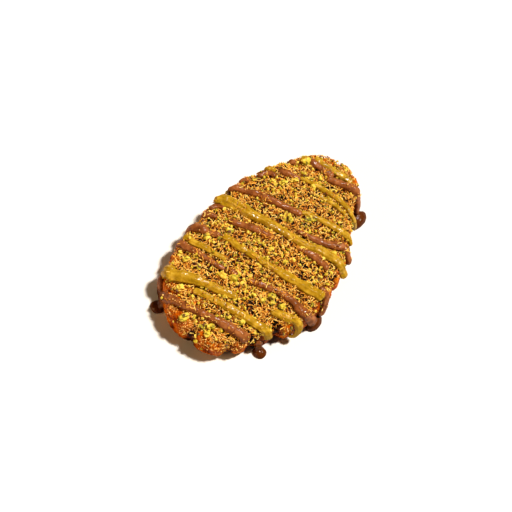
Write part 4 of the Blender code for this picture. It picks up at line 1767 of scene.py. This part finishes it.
@dataclass
class NutChunks:
    """The largest pistachio pieces, each in its own place.

    Attributes:
        layout: Plan and height.
        places: Across, along, size and turn of each piece.
        sides: Proportions of a piece.
        lift: How far its middle lies above the dressed surface, in sizes.
        lobes: Number of crumbly lobes around its core.
        core_share: Size of the core as a share of the piece.
        lobe_share: Smallest and largest lobe as a share of the piece.
        reach: How far from the middle the lobes sit, in sizes.
        tones: Lowest and highest tone of a lobe.
        detail: Rounds of subdivision of a lobe.
        seed: Picks the shapes.
    """

    layout: Layout
    places: Knots = (
        (4.2, -70.3, 5.4, 10), (0.0, -73.0, 4.8, 50), (5.2, -74.6, 5.0, 80),
        (-12.5, -74.0, 6.6, 75), (17.2, -56.8, 4.6, 30), (9.0, -59.4, 4.2, 0),
        (-26.0, -60.0, 5.6, 20), (-1.0, -48.8, 4.6, 40), (4.5, -47.4, 3.8, 70),
        (-10.0, -38.4, 5.6, 15), (-3.6, -37.0, 6.4, 60), (13.0, -38.0, 4.0, 5),
        (19.0, -37.6, 4.2, 33), (21.0, -32.4, 5.6, 12), (24.4, -35.4, 4.4, 48),
        (30.0, -33.8, 5.2, 25), (-25.0, -42.6, 4.0, 66), (-35.0, -42.4, 5.6, 38),
        (-34.0, -21.4, 5.6, 85), (31.0, 9.4, 4.4, 20), (18.0, 7.4, 4.2, 55),
        (-28.0, 11.4, 4.0, 5), (-1.0, 19.4, 6.6, 130), (-26.0, -10.0, 4.6, 9),
        (-14.0, 47.2, 4.6, 28), (-19.0, 40.6, 6.0, 77), (-2.0, 50.0, 4.4, 44),
        (10.0, 27.6, 6.4, 18), (-17.0, 64.4, 6.6, 62), (35.0, 18.0, 4.0, 35),
        (3.0, -5.6, 3.8, 12), (15.0, -7.6, 4.2, 81),
    )  # fmt: skip
    sides: Triple = (1.1, 0.88, 0.7)
    lift: float = 0.1
    lobes: int = 6
    core_share: float = 0.92
    lobe_share: Pair = (0.4, 0.62)
    reach: float = 0.3
    tones: Pair = (0.12, 0.85)
    detail: int = 3
    seed: int = 300

    def build(self) -> Object:
        """Lay the chunks.

        Returns:
            The piece, with its attribute for the tone.
        """
        random = np.random.default_rng(self.seed)
        points: list[Array] = []
        faces: Faces = []
        tones: list[Array] = []
        count = 0
        for index, (x, y, size, turn) in enumerate(self.places):
            spin = np.array(Euler((0, 0, math.radians(turn))).to_matrix())
            middle = np.array((x, y, float(self.layout.crown(x, y)) + size * self.lift))
            for part in range(self.lobes + 1):
                shape, skin = chopped(self.detail, self.seed + 11 * index + part)
                share = random.uniform(*self.lobe_share) if part else self.core_share
                away = random.normal(size=3) * (part > 0)
                away *= self.reach / max(float(np.linalg.norm(away)), 1e-9)
                shape = (shape * share + away) * self.sides * size
                points.append(shape @ spin.T + middle)
                faces += [tuple(count + corner for corner in face) for face in skin]
                tones.append(np.full(len(shape), random.uniform(*self.tones)))
                count += len(shape)
        piece = new_piece("pistachio_chunks", np.concatenate(points), faces)
        set_attributes(piece.data, tone=np.concatenate(tones))
        return piece


def carrier(mesh: Mesh, cover: Array, nuts: Array, crumbs: Array) -> Object:
    """An object that says how thickly things lie on a mesh, from 0 to 1 at each vertex.

    Args:
        mesh: The mesh.
        cover: The cover of threads.
        nuts: The cover of nut bits.
        crumbs: The cover of crumbs.

    Returns:
        The object.
    """
    set_attributes(mesh, cover=cover, nut_cover=nuts, crumb_cover=crumbs)
    return put("carrier", mesh)


@dataclass
class Carriers:
    """Helper meshes that say where scattered things may lie, and how thickly.

    Attributes:
        layout: Plan and height.
        dough: The dough, whose notches stay open.
        crumb_spots: Across, along and reach of places that are thick with crumbs.
        grid: Rows of faces of the sheet over the top, and faces around each row.
    """

    layout: Layout
    dough: Dough
    crumb_spots: Knots = (
        (14.5, -75.5, 6.5), (22.0, -66.5, 5.5), (8.0, -77.0, 4.5), (-10.0, -76.0, 4.5),
        (-22.0, -72.5, 4.0), (6.7, 78.5, 6.0),
    )  # fmt: skip
    grid: tuple[int, int] = (70, 280)

    def top(self) -> Object:
        """A sheet over the whole top: nuts in loose clusters, crumbs on the near lobes.

        Returns:
            The carrier.
        """
        rings, segments = self.grid
        bed = Bed(self.layout, self.dough, 0.5, 0.5, rings=rings, segments=segments)
        points, faces = bed.surface()
        notch = self.dough.gap(points)
        patchy = rough_noise(points, 6.0, 71, 2)
        rim = ramp(self.layout.depth(*points.T[:2]) + 1.4 * patchy, 0.4, 2.8)
        closed = (1 - 0.9 * notch) * (1 - 0.85 * self.dough.bare(points))
        cover = np.clip(rim * (0.92 + 0.2 * patchy) * closed, 0, 1)
        clusters = ramp(rough_noise(points, 9.0, 73, 2), 0.0, 0.55)
        nuts = np.clip((0.24 + 0.76 * clusters) * cover, 0, 1)
        heaps = nearness(points, self.crumb_spots, relief(points, ((1.2, 3.0, 77, 2),)))
        crumbs = np.maximum(0.16 * cover, heaps) * (1 - 0.95 * notch)
        return carrier(mesh_of("carrier", points, faces), cover, nuts, crumbs)

    def on_crust(self, pastry: Object) -> Object:
        """The outside of the dough, where crumbs and a few threads stick.

        Args:
            pastry: The pastry piece.

        Returns:
            The carrier.
        """
        mesh = pastry.data.copy()
        points = to_layout(mesh)
        upper = ramp(vertex_normals(mesh)[:, 2], 0.05, 0.5) * ramp(points[:, 2], 5.0, 9.0)
        amount = upper * ramp(-self.layout.depth(*points.T[:2]), -9.0, -6.0)
        patchy = rough_noise(points, 3.0, 78, 2)
        heaps = nearness(points, self.crumb_spots, 1.2 * patchy, inner=0.8, outer=1.35)
        crumbs = np.maximum(0.1 * ramp(patchy, -0.2, 0.5), 0.9 * heaps)
        return carrier(mesh, (0.05 + 0.25 * crumbs) * amount, 0.05 * amount, crumbs * amount)

    def on_sauce(self, sauce: Object, cover: float, seed: int) -> Object:
        """The upper side of a sauce.

        Args:
            sauce: The sauce piece.
            cover: How thickly it is strewn.
            seed: Picks the patches.

        Returns:
            The carrier.
        """
        mesh = sauce.data.copy()
        points = to_layout(mesh)
        height = points[:, 2]
        upper = ramp(vertex_normals(mesh)[:, 2], 0.1, 0.6) * (height > 12)
        middle = 0.35 + 0.65 * ramp(self.layout.depth(*points.T[:2]), 7.0, 20.0)
        patchy = ramp(rough_noise(points, 8.0, seed, 2), -0.4, 0.6)
        amount = cover * upper * middle * patchy * ramp(-height, -25.4, -24.6)
        return carrier(mesh, amount, 0.25 * amount * (height < 24.0), 0.6 * amount)


# ------ the studio


@dataclass
class Studio:
    """Floor, lights and camera.

    Attributes:
        floor_size: Width of the floor in metres.
        floor_colour: sRGB hex colour of the floor.
        key: Place in metres, watts on a square metre, sRGB hex colour and width in degrees of
            the warm key, which shines from behind.
        fill: Place, watts, colour and width in metres of the low, soft fill.
        glint: The same of the small lamp that only glossy surfaces mirror.
        ambient: Strength of the light from all around.
        paper: How much brighter the camera sees the backdrop.
        camera_place: Camera in the row frame, in millimetres.
        camera_turn: Its turn in degrees.
        lens: Focal length in millimetres on a 36 mm sensor.
    """

    floor_size: float = 16.0
    floor_colour: str = "D4D9E0"
    key: Lamp = ((0.45, 0.52, 1.2), 6.5, "FFF0DC", 6.5)
    fill: Lamp = ((-0.6, -1.0, 0.42), 7.6, "FFCA86", 0.6)
    glint: Lamp = ((-0.263, 0.625, 1.166), 12.0, "FFFFFF", 0.12)
    ambient: float = 0.025
    paper: float = 0.85
    camera_place: Triple = (125.35, -297.17, 553.82)
    camera_turn: Triple = (29.688, -5.9057, 34.8388)
    lens: float = 70.3125

    def floor(self) -> None:
        """Lay the pale floor."""
        half = self.floor_size / 2
        mesh = bpy.data.meshes.new("floor")
        corners = [(-half, -half, 0), (half, -half, 0), (half, half, 0), (-half, half, 0)]
        mesh.from_pydata(corners, [], [(0, 1, 2, 3)])
        material = bpy.data.materials.new("matt_white_paper")
        material.use_nodes = True
        shader = material.node_tree.nodes["Principled BSDF"]
        shader.inputs["Base Color"].default_value = srgb(self.floor_colour)
        shader.inputs["Roughness"].default_value = 0.9
        mesh.materials.append(material)
        put("floor", mesh)

    def lamp(
        self, name: str, kind: str, place: Triple, energy: float, colour: str, size: float
    ) -> Object:
        """Hang a lamp that points at the croffle.

        Args:
            name: Name of the lamp.
            kind: Blender's name for its type.
            place: Its place in metres.
            energy: Its strength or power.
            colour: sRGB hex colour of its light.
            size: Width in degrees of a sun, or in metres of an area.

        Returns:
            The lamp's object.
        """
        light = bpy.data.lights.new(name, kind)
        light.energy = energy
        light.color = srgb(colour)[:3]
        if kind == "SUN":
            light.angle = math.radians(size)
        else:
            light.shape = "SQUARE"
            light.size = size
        thing = put(name, light)
        thing.location = place
        aim = Vector((0, 0, 0.01)) - Vector(place)
        thing.rotation_euler = aim.to_track_quat("-Z", "Y").to_euler()
        return thing

    def backdrop(self) -> None:
        """Surround the stage with a dim light that the camera sees as pale paper."""
        world = bpy.data.worlds.new("studio")
        world.use_nodes = True
        tree = world.node_tree
        back = tree.nodes["Background"]
        back.inputs["Color"].default_value = srgb("FFFDFA")
        seen = add_node(tree, "ShaderNodeLightPath").outputs["Is Camera Ray"]
        settings = {"operation": "MULTIPLY_ADD", 1: self.paper, 2: self.ambient}
        strength = add_node(tree, "ShaderNodeMath", settings, {0: seen})
        tree.links.new(strength.outputs[0], back.inputs["Strength"])
        bpy.context.scene.world = world

    def build(self) -> None:
        """Set up the floor, the lamps, the backdrop and the camera."""
        self.floor()
        self.lamp("key", "SUN", *self.key)
        self.lamp("fill", "AREA", *self.fill)
        self.lamp("glint", "AREA", *self.glint).visible_diffuse = False
        self.backdrop()
        scene = bpy.context.scene
        scene.view_settings.view_transform = "Standard"
        camera = bpy.data.cameras.new("camera")
        camera.lens = self.lens
        camera.sensor_width = 36.0
        camera.clip_start = 0.01
        scene.camera = put("camera", camera)
        scene.camera.location = Vector(self.camera_place) * MM
        scene.camera.rotation_euler = Euler([math.radians(turn) for turn in self.camera_turn])


# ------ everything together


def finish_piece(piece: Object, material: Material) -> None:
    """Dress a piece, report it, and say that it rides on and stands for the croffle.

    Args:
        piece: The piece.
        material: Its finish.
    """
    piece.data.materials.clear()
    piece.data.materials.append(material)
    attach(piece, BODY)
    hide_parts(NODE)
    triangles = sum(len(face.vertices) - 2 for face in piece.data.polygons)
    log.info("%s: %d triangles", piece.name, triangles)


def main() -> None:
    """Build the croffle and its studio."""
    logging.basicConfig(level=logging.INFO, format="%(name)s %(message)s")
    layout = Layout()
    dough = Dough(layout)
    pastry = dough.build()
    finish_piece(pastry, BakedCrust().build())
    # The bed's near-black finish is painted shade in the gaps between the loose threads.
    finish_piece(Bed(layout, dough).build(), ToastedShadedBed().build())
    chocolate = Pour(
        "chocolate_sauce",
        layout,
        CHOCOLATE_STRIPES,
        CHOCOLATE_POOLS,
        seed=60,
        swell=1.14,
        strands=0.05,
    ).build()
    cream = Pour(
        "pistachio_cream",
        layout,
        CREAM_STRIPES,
        (),
        seed=80,
        sink=0.06,
        strands=0.1,
        voxel=0.37,
        smoothing=2,
    ).build()
    carriers = Carriers(layout, dough)
    sheets = [
        carriers.top(),
        carriers.on_crust(pastry),
        carriers.on_sauce(chocolate, 0.4, 401),
        carriers.on_sauce(cream, 0.12, 402),
    ]
    strewn = join(sheets, "carrier")
    finish_piece(chocolate, Sauce().build())
    cream_finish = Sauce(
        "pistachio_cream_sauce",
        roughness=0.36,
        coat=0.28,
        stops=((0.3, "886A0C"), (0.52, "A07C18"), (0.72, "BC9A30")),
        # Darker low down: partly thick cream, partly painted shade.
        pooled_and_shaded="8A6A0C",
    )
    finish_piece(cream, cream_finish.build())
    golden = ((0.05, "4A1E02"), (0.45, "9C5008"), (0.9, "CC8022"))
    # The lowest threads get near-black colours: partly browning, partly painted shade deep between
    # the threads above.
    toasted = ((0.05, "0E0400"), (0.45, "240E02"), (0.9, "4A2204"))
    shades = {
        Kind.PALE: (FiloThread(), 5.6e5, 501, (-0.2, 0.6)),
        Kind.GOLDEN: (FiloThread("golden_filo_thread", stops=golden), 2.7e5, 502, (-0.7, 0.2)),
        Kind.TOASTED: (FiloThread("toasted_filo_thread", stops=toasted), 4.3e5, 503, (-1.3, -0.3)),
    }
    for kind, (finish, density, seed, lift) in shades.items():
        threads = Threads(f"filo_threads_{kind.value}", density, seed, lift=lift)
        material = finish.build()
        finish_piece(threads.build(strewn, material), material)
    nuts = Pistachio().build()
    finish_piece(NutChunks(layout).build(), nuts)
    bits = Bits("pistachio_bits", 2.25e5, 601, "nut_cover", (0.6, 0.6), (0.9, 2.9))
    finish_piece(bits.build(strewn, nuts), nuts)
    crumbs = Bits("crumbs", 1.6e6, 701, "crumb_cover", (0.4, 0.4), (0.4, 1.1), detail=1)
    crumb_stops = ((0.05, "9A5610"), (0.45, "DE9E3C"), (0.9, "FFD684"))
    crumb_finish = FiloThread("filo_crumb", stops=crumb_stops).build()
    finish_piece(crumbs.build(strewn, crumb_finish), crumb_finish)
    discard(strewn)
    Studio().build()


if __name__ == "__main__":
    main()
